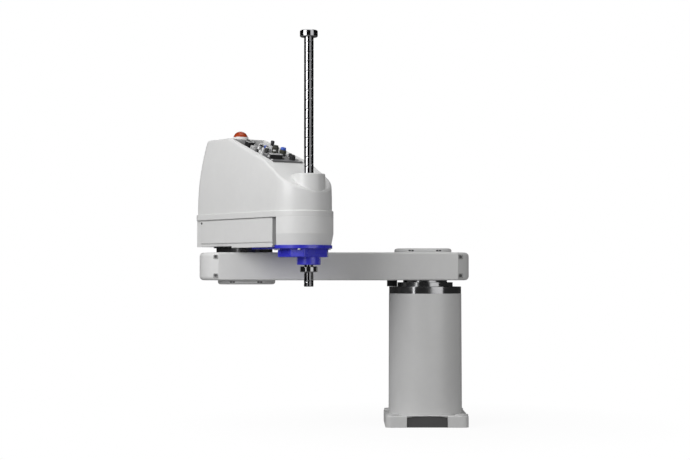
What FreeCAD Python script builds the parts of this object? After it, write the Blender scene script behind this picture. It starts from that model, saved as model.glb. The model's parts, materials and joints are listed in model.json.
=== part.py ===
# Four-axis SCARA robot on a square-footed column.
# Millimetres. +Z is up, the origin is the centre of the foot's underside on the shoulder axis.
# The upper arm points along -X, and the forearm stands at elbow_angle to it, towards -Y.
import FreeCAD
import Part
import Sketcher
import math
import os

DIMENSIONS = (
    # Foot and column
    ("foot_width", 180.0),
    ("foot_thickness", 25.0),
    ("foot_corner", 13.0),
    ("foot_bevel", 2.5),
    ("foot_bolt_inset", 15.0),
    ("foot_bolt_hole", 9.0),
    ("foot_pad_radius", 14.0),
    ("foot_pad_tall", 3.0),
    ("foot_recess_width", 88.0),
    ("foot_recess_depth", 3.0),
    ("foot_recess_tall", 22.0),
    ("column_inset", 10.0),
    ("column_flare", 1.0),
    ("column_wall", 10.0),
    ("column_tall", 263.0),
    ("column_floor", 12.0),
    ("rear_box_width", 104.0),
    ("rear_box_inset", 4.0),
    ("rear_box_tall", 128.0),
    ("rear_box_wall", 6.0),
    ("rear_panel_thickness", 3.0),
    ("rear_panel_margin", 1.5),
    # Shoulder
    ("housing_tall", 15.0),
    ("housing_inset", 0.5),
    ("spigot_tall", 12.0),
    ("running_gap", 0.3),
    ("bearing_clearance", 0.06),
    ("hub_radius", 40.0),
    ("hub_bore", 15.0),
    ("hub_lift", 1.2),
    ("shoulder_flange_inset", 19.0),
    ("shoulder_flange_tall", 9.2),
    ("shoulder_neck_step", 12.5),
    ("shoulder_neck_tall", 4.5),
    ("stop_gap", 1.5),
    ("stop_inset", 1.0),
    ("stop_tall", 9.0),
    ("stop_angle", 38.0),
    ("moving_stop_gap", 1.0),
    ("moving_stop_reach", 4.0),
    ("moving_stop_width", 20.0),
    # Upper arm
    ("upper_arm_length", 400.0),
    ("upper_arm_width", 130.0),
    ("upper_arm_tall", 61.0),
    ("upper_arm_edge", 3.5),
    ("elbow_overhang", 52.0),
    ("shoulder_overhang", 68.5),
    ("elbow_cap_length", 47.0),
    ("shoulder_cap_length", 28.0),
    ("end_cap_round", 9.0),
    ("end_cap_wall", 3.0),
    ("cap_screw_inset", 6.5),
    ("cap_screw_height", 10.0),
    ("screw_head", 3.4),
    ("screw_head_tall", 2.4),
    ("screw_sink", 4.4),
    ("screw_deep", 3.4),
    ("screw_edge", 9.0),
    ("joint_screw_spread", 30.0),
    ("joint_cover_length", 125.0),
    ("joint_cover_width", 112.0),
    ("joint_cover_tall", 9.0),
    ("joint_cover_corner", 42.0),
    ("joint_cover_edge", 5.5),
    ("joint_cover_shift", 5.0),
    ("joint_pocket_radius", 48.0),
    ("joint_pocket_depth", 30.0),
    # Elbow
    ("elbow_ring_radius", 62.0),
    ("elbow_ring_tall", 9.5),
    ("elbow_flange_radius", 68.0),
    ("elbow_flange_tall", 3.2),
    # Forearm
    ("elbow_angle", 54.0),
    ("forearm_length", 250.0),
    ("forearm_rear", 106.0),
    ("forearm_half", 62.0),
    ("forearm_tall", 59.0),
    ("forearm_wall", 6.0),
    ("forearm_floor", 10.0),
    ("nose_back", 29.0),
    ("nose_radius", 68.5),
    ("nose_taper", 4.5),
    ("nose_taper_tall", 24.0),
    ("nose_ramp_back", 21.0),
    ("channel_start_back", 42.0),
    ("channel_floor_back", 36.0),
    ("channel_depth", 5.0),
    ("forearm_rear_round", 8.0),
    ("rim_start", 46.0),
    ("rim_end_back", 45.0),
    ("rim_tall", 3.6),
    ("side_panel_thickness", 3.0),
    ("side_panel_drop", 6.5),
    ("side_panel_rear", 81.0),
    ("side_panel_gap", 1.0),
    # Head cover
    ("cover_half", 65.0),
    ("cover_rear", 105.0),
    ("cover_tall", 179.0),
    ("cover_belt", 70.0),
    ("cover_belt_inset", 1.0),
    ("cover_top_half", 47.0),
    ("cover_top_rear", 88.0),
    ("cover_corner", 20.0),
    ("cover_wall", 3.0),
    ("cover_lip", 3.5),
    ("cover_lip_tall", 13.0),
    ("cover_lip_round", 2.0),
    ("cover_round", 6.0),
    ("cover_crown_rise", 10.0),
    ("cut_margin", 60.0),
    ("slope_start", 12.0),
    ("slope_end_back", 79.0),
    ("slope_drop", 58.0),
    ("front_reach", 35.0),
    ("front_drop", 68.0),
    ("recess_half", 40.0),
    ("recess_depth", 13.0),
    ("recess_run_out", 14.0),
    ("boss_radius", 36.0),
    ("boss_top_radius", 34.2),
    ("boss_tall", 90.0),
    ("boss_cone", 60.0),
    ("boss_bore", 22.5),
    ("boss_round", 2.0),
    # Nose guard
    ("guard_plate_tall", 7.0),
    ("guard_plate_radius", 66.0),
    ("guard_rear_back", 142.0),
    ("guard_rear_half", 50.0),
    ("guard_shoulder_back", 48.0),
    ("guard_block_tall", 18.0),
    ("guard_block_rear_back", 47.0),
    ("guard_block_bend_reach", 3.0),
    ("guard_block_front_reach", 25.0),
    ("guard_block_half", 48.0),
    ("guard_front_half", 29.0),
    ("guard_round", 4.0),
    ("guard_edge", 1.5),
    ("guard_nozzle_radius", 25.0),
    ("guard_nozzle_tall", 16.0),
    ("guard_wall", 3.0),
    ("guard_screw_rear_back", 60.0),
    ("guard_screw_side", 43.0),
    ("guard_screw_front_back", 29.0),
    ("guard_screw_flank", 56.5),
    # Shaft
    ("shaft_radius", 10.0),
    ("shaft_bore", 7.0),
    ("shaft_length", 536.5),
    ("collar_gap", 3.3),
    ("shaft_groove_width", 3.2),
    ("shaft_groove_depth", 0.9),
    ("collar_seat_depth", 0.3),
    ("collar_seat_tall", 2.0),
    ("shaft_fit", 0.06),
    ("collar_radius", 18.7),
    ("top_collar_tall", 13.7),
    ("bottom_collar_tall", 12.0),
    ("bottom_collar_above_end", 30.2),
    ("collar_slot", 1.6),
    ("collar_screw", 2.1),
    ("collar_bevel", 1.4),
    # Drives in the head
    ("spline_nut_radius", 20.0),
    ("spline_nut_rise", 8.0),
    ("spline_bearing_radius", 30.0),
    ("spline_bearing_tall", 12.0),
    ("pulley_tall", 16.0),
    ("pulley_flange", 2.0),
    ("shaft_pulley_radius", 26.0),
    ("motor_pulley_radius", 16.0),
    ("ball_nut_radius", 20.0),
    ("ball_nut_tall", 42.0),
    ("nut_bracket_thickness", 10.0),
    ("nut_bracket_length", 102.0),
    ("belt_thickness", 2.0),
    ("belt_width", 11.0),
    ("belt_clear", 0.4),
    ("elbow_motor_share", 20.0),
    ("between_motors_share", 2.0),
    ("nut_bracket_share", 11.0),
    ("small_motor_width", 60.0),
    ("roll_motor_tall", 88.0),
    ("lift_motor_tall", 52.0),
    ("motor_plate_thickness", 8.0),
    ("large_motor_width", 84.0),
    ("shoulder_motor_tall", 120.0),
    ("elbow_motor_tall", 112.0),
    ("encoder_tall", 20.0),
    ("encoder_inset", 5.0),
    ("motor_flange_tall", 9.0),
    ("motor_flange_lip", 4.0),
    ("motor_corner", 7.0),
    ("shoulder_spindle", 6.0),
    ("plate_gap", 4.0),
    ("bracket_half", 45.0),
    ("bracket_leg", 6.0),
    ("bracket_leg_length", 34.0),
    ("nut_bracket_room", 3.0),
    ("nut_collar", 3.0),
    ("lift_pulley_drop", 6.0),
    ("motor_shaft_radius", 8.0),
    # Head fittings
    ("user_panel_thickness", 3.0),
    ("panel_margin", 0.4),
    ("fitting_row_front", 112.0),
    ("fitting_row_rear", 82.0),
    ("fitting_row_far", 20.0),
    ("fitting_row_middle", -2.0),
    ("large_fitting_radius", 7.0),
    ("large_fitting_tall", 15.0),
    ("small_fitting_radius", 4.5),
    ("small_fitting_tall", 11.0),
    ("fitting_foot", 0.3),
    ("fitting_waist", 0.82),
    ("fitting_collar", 0.4),
    ("fitting_bevel", 0.14),
    ("ring_inner", 0.4),
    ("ring_outer", 0.8),
    ("ring_rise", 0.42),
    ("connector_wall", 1.2),
    ("connector_flange", 2.0),
    ("connector_ear", 4.5),
    ("connector_across", -16.0),
    ("connector_depth", 12.0),
    ("connector_tall", 9.0),
    ("large_connector_along", 140.0),
    ("large_connector_width", 39.0),
    ("small_connector_along", 60.0),
    ("small_connector_width", 31.0),
    ("network_along", 34.0),
    ("network_size", 14.0),
    ("button_along", 146.0),
    ("button_across", 24.0),
    ("button_radius", 4.5),
    ("button_wall", 2.0),
    ("button_guard_tall", 8.0),
    ("button_proud", 3.0),
    ("button_travel", 2.0),
    ("lamp_place", 17.0),
    ("lamp_radius", 16.0),
    ("lamp_base_tall", 6.0),
    ("lamp_dome_tall", 13.0),
    ("lamp_rim", 1.5),
    ("power_connector_radius", 17.0),
    ("power_connector_reach", 22.0),
    ("signal_connector_width", 42.0),
    ("signal_connector_reach", 10.0),
    ("signal_connector_tall", 14.0),
    ("power_connector_place", 26.0),
    ("power_flange", 38.0),
    ("signal_connector_place", 22.0),
    ("base_fitting_pitch", 20.0),
    ("base_fitting_row", 60.0),
)


class Size:
    """A length that knows its value and the sheet expression it comes from."""

    def __init__(self, value, text):
        self.value = float(value)
        self.text = text

    def __add__(self, other):
        other = lifted(other)
        return Size(self.value + other.value, "(%s + %s)" % (self.text, other.text))

    def __sub__(self, other):
        other = lifted(other)
        return Size(self.value - other.value, "(%s - %s)" % (self.text, other.text))

    def __mul__(self, other):
        other = lifted(other)
        return Size(self.value * other.value, "(%s * %s)" % (self.text, other.text))

    def __truediv__(self, other):
        other = lifted(other)
        return Size(self.value / other.value, "(%s / %s)" % (self.text, other.text))

    def __neg__(self):
        return Size(-self.value, "(0 - %s)" % self.text)

    def __radd__(self, other):
        return lifted(other) + self

    def __rsub__(self, other):
        return lifted(other) - self

    def __rmul__(self, other):
        return lifted(other) * self


def lifted(item):
    return item if isinstance(item, Size) else Size(item, repr(float(item)))


def root(size):
    return Size(math.sqrt(size.value), "sqrt(%s)" % size.text)


def sine(angle):
    return Size(math.sin(math.radians(angle.value)), "sin(%s)" % angle.text)


def cosine(angle):
    return Size(math.cos(math.radians(angle.value)), "cos(%s)" % angle.text)


def slope_angle(drop, run):
    degrees = math.degrees(math.atan2(drop.value, run.value))
    return Size(degrees, "(atan(%s / %s) / 1deg)" % (drop.text, run.text))


doc = FreeCAD.newDocument("scara_robot")
sheet = doc.addObject("Spreadsheet::Sheet", "sizes")
for row, (word, number) in enumerate(DIMENSIONS, 1):
    sheet.set("A%d" % row, word)
    sheet.set("B%d" % row, str(number))
    sheet.setAlias("B%d" % row, word)
doc.recompute()


class Sheet:
    """Reads a driving dimension by its name."""

    def __getattr__(self, word):
        return Size(getattr(sheet, word), "sizes." + word)


s = Sheet()
kept = []


def keep(item, label):
    item.Label = label
    kept.append(item)
    return item


# Construction helpers


def bind(item, field, size):
    size = lifted(size)
    setattr(item, field, size.value)
    item.setExpression(field, size.text)


def spot(x=0, y=0, z=0, turn=0, axis=(0, 0, 1)):
    """The sheet expression of one placement."""
    x, y, z, turn = lifted(x), lifted(y), lifted(z), lifted(turn)
    where = "create(<<vector>>; %s; %s; %s)" % (x.text, y.text, z.text)
    about = "create(<<vector>>; %d; %d; %d)" % axis
    spin = "create(<<rotation>>; %s; %s)" % (about, turn.text)
    return "create(<<placement>>; %s; %s)" % (where, spin)


def put(item, *spots):
    """Places an item by one or more placements, the outermost first."""
    item.setExpression("Placement", " * ".join(spots))
    return item


def place(item, *where, **how):
    return put(item, spot(*where, **how))


def on_forearm(item, x=0, y=0, z=0):
    """The forearm's pieces are drawn along X from the elbow axis, then swung to their rest angle."""
    return put(item, spot(x=-s.upper_arm_length, turn=-s.elbow_angle), spot(x, y, z))


def cylinder(name, radius, height, x=0, y=0, z=0):
    item = doc.addObject("Part::Cylinder", name)
    bind(item, "Radius", radius)
    bind(item, "Height", height)
    return place(item, x, y, z)


def box(name, length, width, height, x=0, y=0, z=0):
    """A block centred on x and y that stands on z."""
    item = doc.addObject("Part::Box", name)
    bind(item, "Length", length)
    bind(item, "Width", width)
    bind(item, "Height", height)
    return place(item, x - lifted(length) / 2, y - lifted(width) / 2, z)


def joined(name, *pieces):
    item = doc.addObject("Part::MultiFuse", name)
    item.Shapes = list(pieces)
    item.Refine = True
    return item


def less(name, base, *tools):
    item = doc.addObject("Part::Cut", name)
    item.Base = base
    item.Tool = tools[0] if len(tools) == 1 else joined(name + "_tools", *tools)
    item.Refine = True
    return item


def common(name, base, tool):
    item = doc.addObject("Part::Common", name)
    item.Base = base
    item.Tool = tool
    return item


def new_body(name):
    return doc.addObject("PartDesign::Body", name)


def sketch_on(body, name, role, offset=0):
    item = body.newObject("Sketcher::SketchObject", name)
    plane = [feature for feature in body.Origin.OriginFeatures if feature.Role == role][0]
    item.AttachmentSupport = [(plane, "")]
    item.MapMode = "FlatFace"
    item.AttachmentOffset = FreeCAD.Placement(FreeCAD.Vector(0, 0, lifted(offset).value), FreeCAD.Rotation())
    item.setExpression("AttachmentOffset.Base.z", lifted(offset).text)
    return item


def fix(sketch, kind, size, *where):
    index = sketch.addConstraint(Sketcher.Constraint(kind, *where, size.value))
    label = "%s_%d" % (kind, index)
    sketch.renameConstraint(index, label)
    sketch.setExpression("Constraints." + label, size.text)


def circle(sketch, radius, x=0, y=0):
    radius, x, y = lifted(radius), lifted(x), lifted(y)
    centre = FreeCAD.Vector(x.value, y.value, 0)
    index = sketch.addGeometry(Part.Circle(centre, FreeCAD.Vector(0, 0, 1), radius.value), False)
    fix(sketch, "Radius", radius, index)
    fix(sketch, "DistanceX", x, -1, 1, index, 3)
    fix(sketch, "DistanceY", y, -1, 1, index, 3)


def arc_centre(start, end, radius):
    """Centre of the arc, no longer than a half turn, that bulges to the right of the line from start to end."""
    chord = end - start
    rise = math.sqrt(max(radius ** 2 - (chord.Length / 2) ** 2, 0))
    normal = FreeCAD.Vector(-chord.y, chord.x, 0).normalize()
    return start + chord / 2 + normal * rise


def outline(sketch, corners):
    """A closed outline. Each corner is (x, y), or (x, y, radius) when an arc leaves it counterclockwise."""
    points = [FreeCAD.Vector(lifted(corner[0]).value, lifted(corner[1]).value, 0) for corner in corners]
    count = len(corners)
    for index, corner in enumerate(corners):
        start, end = points[index], points[(index + 1) % count]
        if len(corner) == 2:
            sketch.addGeometry(Part.LineSegment(start, end), False)
            continue
        radius = lifted(corner[2]).value
        centre = arc_centre(start, end, radius)
        first = math.atan2(start.y - centre.y, start.x - centre.x)
        last = math.atan2(end.y - centre.y, end.x - centre.x)
        ring = Part.Circle(centre, FreeCAD.Vector(0, 0, 1), radius)
        sketch.addGeometry(Part.ArcOfCircle(ring, first, last), False)
    for index in range(count):
        sketch.addConstraint(Sketcher.Constraint("Coincident", index, 2, (index + 1) % count, 1))
    for index, corner in enumerate(corners):
        fix(sketch, "DistanceX", lifted(corner[0]), -1, 1, index, 1)
        fix(sketch, "DistanceY", lifted(corner[1]), -1, 1, index, 1)
        if len(corner) == 3:
            fix(sketch, "Radius", lifted(corner[2]), index)


def rectangle(sketch, length, width, x=0, y=0):
    length, width, x, y = lifted(length), lifted(width), lifted(x), lifted(y)
    left, right = x - length / 2, x + length / 2
    near, far = y - width / 2, y + width / 2
    outline(sketch, [(left, near), (right, near), (right, far), (left, far)])


def pad(body, sketch, length, down=False):
    item = body.newObject("PartDesign::Pad", sketch.Name + "_pad")
    item.Profile = sketch
    item.Reversed = down
    bind(item, "Length", length)
    return item


def pocket(body, sketch, depth, up=False, both=False):
    """Cuts along the sketch's back, or to its front, or half the depth to both sides."""
    item = body.newObject("PartDesign::Pocket", sketch.Name + "_pocket")
    item.Profile = sketch
    item.Reversed = up
    item.Midplane = both
    bind(item, "Length", depth)
    before = body.Tip.Shape.Volume if body.Tip is not item else None
    doc.recompute()
    if before is not None and item.Shape.Volume >= before:
        raise ValueError(sketch.Name + " cuts nothing")
    return item


def rounded(body, name, radius, chosen):
    """Rounds the edges of the body's last feature that the test picks."""
    doc.recompute()
    base = body.Tip
    edges = ["Edge%d" % n for n, edge in enumerate(base.Shape.Edges, 1) if chosen(edge)]
    item = body.newObject("PartDesign::Fillet", name)
    item.Base = (base, edges)
    bind(item, "Radius", radius)
    return item


def rounded_part(name, base, radius, chosen):
    """Rounds the edges of a primitive or boolean that the test picks."""
    doc.recompute()
    radius = lifted(radius)
    edges = [(n, radius.value, radius.value) for n, edge in enumerate(base.Shape.Edges, 1) if chosen(edge)]
    item = doc.addObject("Part::Fillet", name)
    item.Base = base
    item.Edges = edges
    return item


def turned(name, profile):
    """A body turned about Z from corners given as (radius, height)."""
    body = new_body(name)
    sketch = sketch_on(body, name + "_profile", "XZ_Plane")
    outline(sketch, profile)
    item = body.newObject("PartDesign::Revolution", name + "_turn")
    item.Profile = sketch
    item.ReferenceAxis = (sketch, ["V_Axis"])
    item.Angle = 360
    return body


def upright(edge):
    bounds = edge.BoundBox
    return bounds.XLength < 1e-3 and bounds.YLength < 1e-3


def level_at(height):
    def test(edge):
        bounds = edge.BoundBox
        return bounds.ZLength < 1e-3 and abs(bounds.ZMin - height.value) < 1e-3
    return test


# Radii that follow the foot, then the heights of the stack from the ground up

column_radius = s.foot_width / 2 - s.column_inset
column_bore = column_radius - s.column_wall
rear_box_reach = s.foot_width / 2 - s.rear_box_inset
foot_bolt_place = s.foot_width / 2 - s.foot_bolt_inset
shoulder_flange_radius = column_radius - s.shoulder_flange_inset
shoulder_neck_radius = shoulder_flange_radius - s.shoulder_neck_step
column_top = s.foot_thickness + s.column_tall
housing_top = column_top + s.housing_tall
shoulder_flange_base = housing_top + s.running_gap
shoulder_neck_base = shoulder_flange_base + s.shoulder_flange_tall
arm_base = shoulder_neck_base + s.shoulder_neck_tall
arm_top = arm_base + s.upper_arm_tall
elbow_ring_top = arm_top + s.elbow_ring_tall
elbow_flange_base = elbow_ring_top + s.running_gap
forearm_base = elbow_flange_base + s.elbow_flange_tall
forearm_floor_top = forearm_base + s.forearm_floor
seam = forearm_base + s.forearm_tall
cover_top = seam + s.cover_tall
guard_base = forearm_base - s.guard_plate_tall - s.guard_block_tall - s.guard_nozzle_tall
bottom_collar_base = guard_base - s.collar_gap - s.bottom_collar_tall
shaft_lowest = bottom_collar_base - s.bottom_collar_above_end
shaft_top = shaft_lowest + s.shaft_length

# Places along the forearm, measured from the shaft's axis. A reach is in front of it, a back behind it.

nose_centre = s.forearm_length - s.nose_back
nose_ramp_end = s.forearm_length - s.nose_ramp_back
channel_start = s.forearm_length - s.channel_start_back
channel_floor = s.forearm_length - s.channel_floor_back
rim_end = s.forearm_length - s.rim_end_back
slope_end = s.forearm_length - s.slope_end_back
front_end = s.forearm_length + s.front_reach
guard_rear = s.forearm_length - s.guard_rear_back
guard_shoulder = s.forearm_length - s.guard_shoulder_back
guard_block_rear = s.forearm_length - s.guard_block_rear_back
guard_block_bend = s.forearm_length + s.guard_block_bend_reach
guard_block_front = s.forearm_length + s.guard_block_front_reach
guard_screw_rear = s.forearm_length - s.guard_screw_rear_back
guard_screw_front = s.forearm_length - s.guard_screw_front_back

# The elbow motor, the two small motors and the nut bracket share what room is left between them

motors_long = s.large_motor_width / 2 + s.small_motor_width * 2 + s.motor_flange_lip
motor_room = s.forearm_length - s.nut_bracket_length / 2 - motors_long
share = motor_room / (s.elbow_motor_share + s.between_motors_share + s.nut_bracket_share)
roll_motor_place = s.large_motor_width / 2 + share * s.elbow_motor_share + s.small_motor_width / 2
between_motors = s.motor_flange_lip + share * s.between_motors_share
lift_motor_place = roll_motor_place + between_motors + s.small_motor_width


# Base


def base_casting():
    body = new_body("base")
    foot = sketch_on(body, "foot", "XY_Plane")
    rectangle(foot, s.foot_width, s.foot_width)
    pad(body, foot, s.foot_thickness)
    rounded(body, "foot_corners", s.foot_corner, upright)
    rounded(body, "foot_edge", s.foot_bevel, level_at(s.foot_thickness))
    half = foot_bolt_place
    pads = sketch_on(body, "foot_pads", "XY_Plane", s.foot_thickness)
    for x, y in ((-half, -half), (half, -half), (half, half), (-half, half)):
        circle(pads, s.foot_pad_radius, x, y)
    pad(body, pads, s.foot_pad_tall)
    flare = turned_feature(body)
    rear = sketch_on(body, "rear_box", "XY_Plane", s.foot_thickness)
    rectangle(rear, s.rear_box_width, rear_box_reach, 0, rear_box_reach / 2)
    pad(body, rear, s.rear_box_tall)
    bore = sketch_on(body, "column_bore", "XY_Plane", column_top)
    circle(bore, column_bore)
    pocket(body, bore, column_top - s.column_floor)
    cavity = sketch_on(body, "rear_cavity", "XZ_Plane", -rear_box_reach)
    cavity_tall = s.rear_box_tall - s.rear_box_wall * 2
    rectangle(cavity, s.rear_box_width - s.rear_box_wall * 2, cavity_tall, 0,
              s.foot_thickness + s.rear_box_wall + cavity_tall / 2)
    pocket(body, cavity, rear_box_reach - column_bore + s.column_wall * 2, up=False)
    recess = sketch_on(body, "front_recess", "XZ_Plane", s.foot_width / 2)
    wide = s.foot_recess_width / 2
    outline(recess, [(-wide, 0), (wide, 0), (wide, s.foot_recess_tall, s.foot_width * 2),
                     (-wide, s.foot_recess_tall)])
    pocket(body, recess, s.foot_recess_depth)
    holes = sketch_on(body, "bolt_holes", "XY_Plane", s.foot_thickness + s.foot_pad_tall)
    for x, y in ((-half, -half), (half, -half), (half, half), (-half, half)):
        circle(holes, s.foot_bolt_hole / 2, x, y)
    pocket(body, holes, s.foot_thickness + s.foot_pad_tall)
    return keep(body, "base_casting")


def turned_feature(body):
    """The column, slightly wider where it meets the foot."""
    sketch = sketch_on(body, "column_profile", "XZ_Plane")
    wide = column_radius + s.column_flare
    outline(sketch, [(0, s.foot_thickness / 2), (wide, s.foot_thickness / 2), (column_radius, column_top),
                     (0, column_top)])
    item = body.newObject("PartDesign::Revolution", "column")
    item.Profile = sketch
    item.ReferenceAxis = (sketch, ["V_Axis"])
    item.Angle = 360
    return item


def rear_panel():
    margin = s.rear_panel_margin
    panel = box("rear_panel_plate", s.rear_box_width - margin * 2, s.rear_panel_thickness,
                s.rear_box_tall - margin * 2, 0, rear_box_reach + s.rear_panel_thickness / 2,
                s.foot_thickness + margin)
    return keep(panel, "connector_panel")


def shoulder_housing():
    bore = s.hub_radius + s.bearing_clearance
    rim = column_radius - s.housing_inset
    body = turned("housing", [(bore, column_top - s.spigot_tall), (column_bore, column_top - s.spigot_tall),
                              (column_bore, column_top), (rim, column_top), (rim, housing_top),
                              (bore, housing_top)])
    return keep(body, "shoulder_reducer_housing")


def shoulder_flange():
    hub_base = column_top - s.spigot_tall + s.hub_lift
    body = turned("shoulder_output", [(s.hub_bore, hub_base), (s.hub_radius, hub_base),
                                      (s.hub_radius, shoulder_flange_base),
                                      (shoulder_flange_radius, shoulder_flange_base),
                                      (shoulder_flange_radius, shoulder_neck_base),
                                      (shoulder_neck_radius, shoulder_neck_base),
                                      (shoulder_neck_radius, arm_base), (s.hub_bore, arm_base)])
    return keep(body, "shoulder_output_flange")


def fixed_stop():
    outer = cylinder("stop_outer_form", column_radius - s.stop_inset, s.stop_tall)
    bind(outer, "Angle", s.stop_angle)
    inner = cylinder("stop_inner_form", shoulder_flange_radius + s.stop_gap, s.stop_tall)
    item = less("fixed_stop", outer, inner)
    place(item, z=housing_top, turn=90 - s.stop_angle / 2)
    return keep(item, "shoulder_fixed_stop")


def moving_stop():
    inner = shoulder_flange_radius + s.moving_stop_gap
    length = column_radius + s.moving_stop_reach - inner
    base = housing_top + s.running_gap * 2
    item = box("moving_stop", length, s.moving_stop_width, arm_base - base,
               -(inner + length / 2), 0, base)
    return keep(item, "shoulder_stop_block")


def servo(name, width, length, seat, x=0, up=False, spindle=0, carried=False):
    """A square servo motor that seats on its flange, with its encoder cap on the far end."""
    length, spindle = lifted(length), lifted(spindle)

    def block(part_name, side, tall, start, across=0):
        low = seat + start if up else seat - start - tall
        item = box(part_name, side, side, tall, across, 0, low)
        return rounded_part(part_name + "_round", item, s.motor_corner, upright)
    flange = block(name + "_flange", width + s.motor_flange_lip, s.motor_flange_tall, lifted(0))
    case = block(name + "_case", width, length - s.motor_flange_tall, s.motor_flange_tall)
    low = seat - spindle if up else seat
    shaft_end = cylinder(name + "_spindle", s.motor_shaft_radius, spindle, 0, 0, low)
    motor = joined(name + "_form", flange, case, shaft_end)
    cap = block(name + "_cap", width - s.encoder_inset * 2, s.encoder_tall, length)
    if carried:
        on_forearm(motor, x)
        on_forearm(cap, x)
    keep(motor, name)
    keep(cap, name + "_encoder")


# Upper arm


def arm_casting():
    body = new_body("arm")
    length = s.upper_arm_length + s.elbow_overhang + s.shoulder_overhang
    middle = s.shoulder_overhang - length / 2
    plan = sketch_on(body, "arm_plan", "XY_Plane", arm_base)
    rectangle(plan, length, s.upper_arm_width, middle)
    pad(body, plan, s.upper_arm_tall)

    def long_edge(edge):
        return edge.BoundBox.XLength > length.value - 1
    rounded(body, "arm_edges", s.upper_arm_edge, long_edge)
    top = sketch_on(body, "shoulder_pocket", "XY_Plane", arm_top)
    circle(top, s.joint_pocket_radius)
    pocket(body, top, s.joint_pocket_depth)
    below = sketch_on(body, "elbow_pocket", "XY_Plane", arm_base)
    circle(below, s.joint_pocket_radius, -s.upper_arm_length)
    pocket(body, below, s.joint_pocket_depth, up=True)
    return keep(body, "upper_arm_casting")


def joint_cover(name, x, z, down):
    """A rounded cover plate with a countersink for each of its four screws. Returns the screws."""
    body = new_body(name + "_form")
    plan = sketch_on(body, name + "_plan", "XY_Plane", z)
    rectangle(plan, s.joint_cover_length, s.joint_cover_width, x)
    pad(body, plan, s.joint_cover_tall, down)
    rounded(body, name + "_corners", s.joint_cover_corner, upright)
    face = z - s.joint_cover_tall if down else z + s.joint_cover_tall
    rounded(body, name + "_edge", s.joint_cover_edge, level_at(face))
    sinks = sketch_on(body, name + "_sinks", "XY_Plane", face)
    spread = s.joint_cover_width / 2 - s.screw_edge
    places = [(x + s.joint_screw_spread * i, spread * j) for i in (-1, 1) for j in (-1, 1)]
    for along, across in places:
        circle(sinks, s.screw_sink, along, across)
    pocket(body, sinks, s.screw_deep, up=down)
    keep(body, name)
    floor = face + s.screw_deep if down else face - s.screw_deep
    low = floor - s.screw_head_tall if down else floor
    return [cylinder("%s_screw_%d" % (name, n), s.screw_head, s.screw_head_tall, along, across, low)
            for n, (along, across) in enumerate(places)]


def end_cap(name, seam_x, length, outward):
    """A hollow cap whose outline is one broad arc across the arm's width, with a screw in each corner."""
    half = s.upper_arm_width / 2
    radius = (half * half + length * length) / (length * 2)
    centre = seam_x + outward * (length - radius)
    disc = cylinder(name + "_disc", radius, s.upper_arm_tall, centre, 0, arm_base)
    middle = seam_x + outward * (length / 2)
    block = box(name + "_block", length, s.upper_arm_width, s.upper_arm_tall, middle, 0, arm_base)
    outer = common(name + "_outer", block, disc)

    def rim(edge):
        bounds = edge.BoundBox
        return bounds.ZLength < 1e-3 and bounds.YLength > length.value and bounds.XLength > 1
    shell = rounded_part(name + "_shell", outer, s.end_cap_round, rim)
    wall = s.end_cap_wall
    inner_tall = s.upper_arm_tall - wall * 2
    inner_disc = cylinder(name + "_inner_disc", radius - wall * 2, inner_tall, centre, 0, arm_base + wall)
    inner_block = box(name + "_inner_block", length, s.upper_arm_width - wall * 4, inner_tall, middle, 0,
                      arm_base + wall)
    inner = common(name + "_inner", inner_block, inner_disc)
    screw_x = seam_x + outward * s.cap_screw_inset
    reach = screw_x - centre
    floor = root(radius * radius - reach * reach) - s.screw_deep
    notches = []
    screws = []
    for side in (-1, 1):
        for number, height in enumerate((arm_base + s.cap_screw_height, arm_top - s.cap_screw_height)):
            mark = "%s_%d_%d" % (name, side + 1, number)
            notches.append(cross_cylinder(mark + "_notch", s.screw_sink, s.screw_deep * 3, screw_x, side,
                                          floor, height))
            screws.append(cross_cylinder(mark + "_screw", s.screw_head, s.screw_head_tall, screw_x, side,
                                         floor, height))
    keep(less(name + "_hollow", shell, inner, *notches), name)
    return screws


def cross_cylinder(name, radius, length, x, side, start, z):
    """A cylinder that runs outward along Y from the given distance, to the near or far side."""
    item = doc.addObject("Part::Cylinder", name)
    bind(item, "Radius", radius)
    bind(item, "Height", length)
    return place(item, x, start * side, z, turn=-90 * side, axis=(1, 0, 0))


def elbow_housing():
    bore = s.hub_radius + s.bearing_clearance
    lower = arm_top
    body = turned("elbow_ring", [(bore, lower), (s.elbow_ring_radius, lower),
                                 (s.elbow_ring_radius, elbow_ring_top), (bore, elbow_ring_top)])
    place(body, x=-s.upper_arm_length)
    return keep(body, "elbow_reducer_housing")


def elbow_flange():
    hub_base = arm_top + s.hub_lift
    hub, rim = s.hub_radius, s.elbow_flange_radius
    body = turned("elbow_output", [(s.hub_bore, hub_base), (hub, hub_base), (hub, elbow_flange_base),
                                   (rim, elbow_flange_base), (rim, forearm_base), (s.hub_bore, forearm_base)])
    place(body, x=-s.upper_arm_length)
    return keep(body, "elbow_output_flange")


# Forearm casting and side panels


def casting_outline(sketch, inset):
    """Straight flanks, a channel behind the nose, then the round nose itself."""
    half = s.forearm_half - inset
    radius = s.nose_radius - inset
    reach = nose_ramp_end - nose_centre
    wide = root(radius * radius - reach * reach)
    rear = -(s.forearm_rear - inset)
    floor = half - s.channel_depth
    outline(sketch, [(rear, -half), (channel_start, -half), (channel_floor, -floor),
                     (nose_ramp_end, -wide, radius), (nose_ramp_end, wide), (channel_floor, floor),
                     (channel_start, half), (rear, half)])


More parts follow.
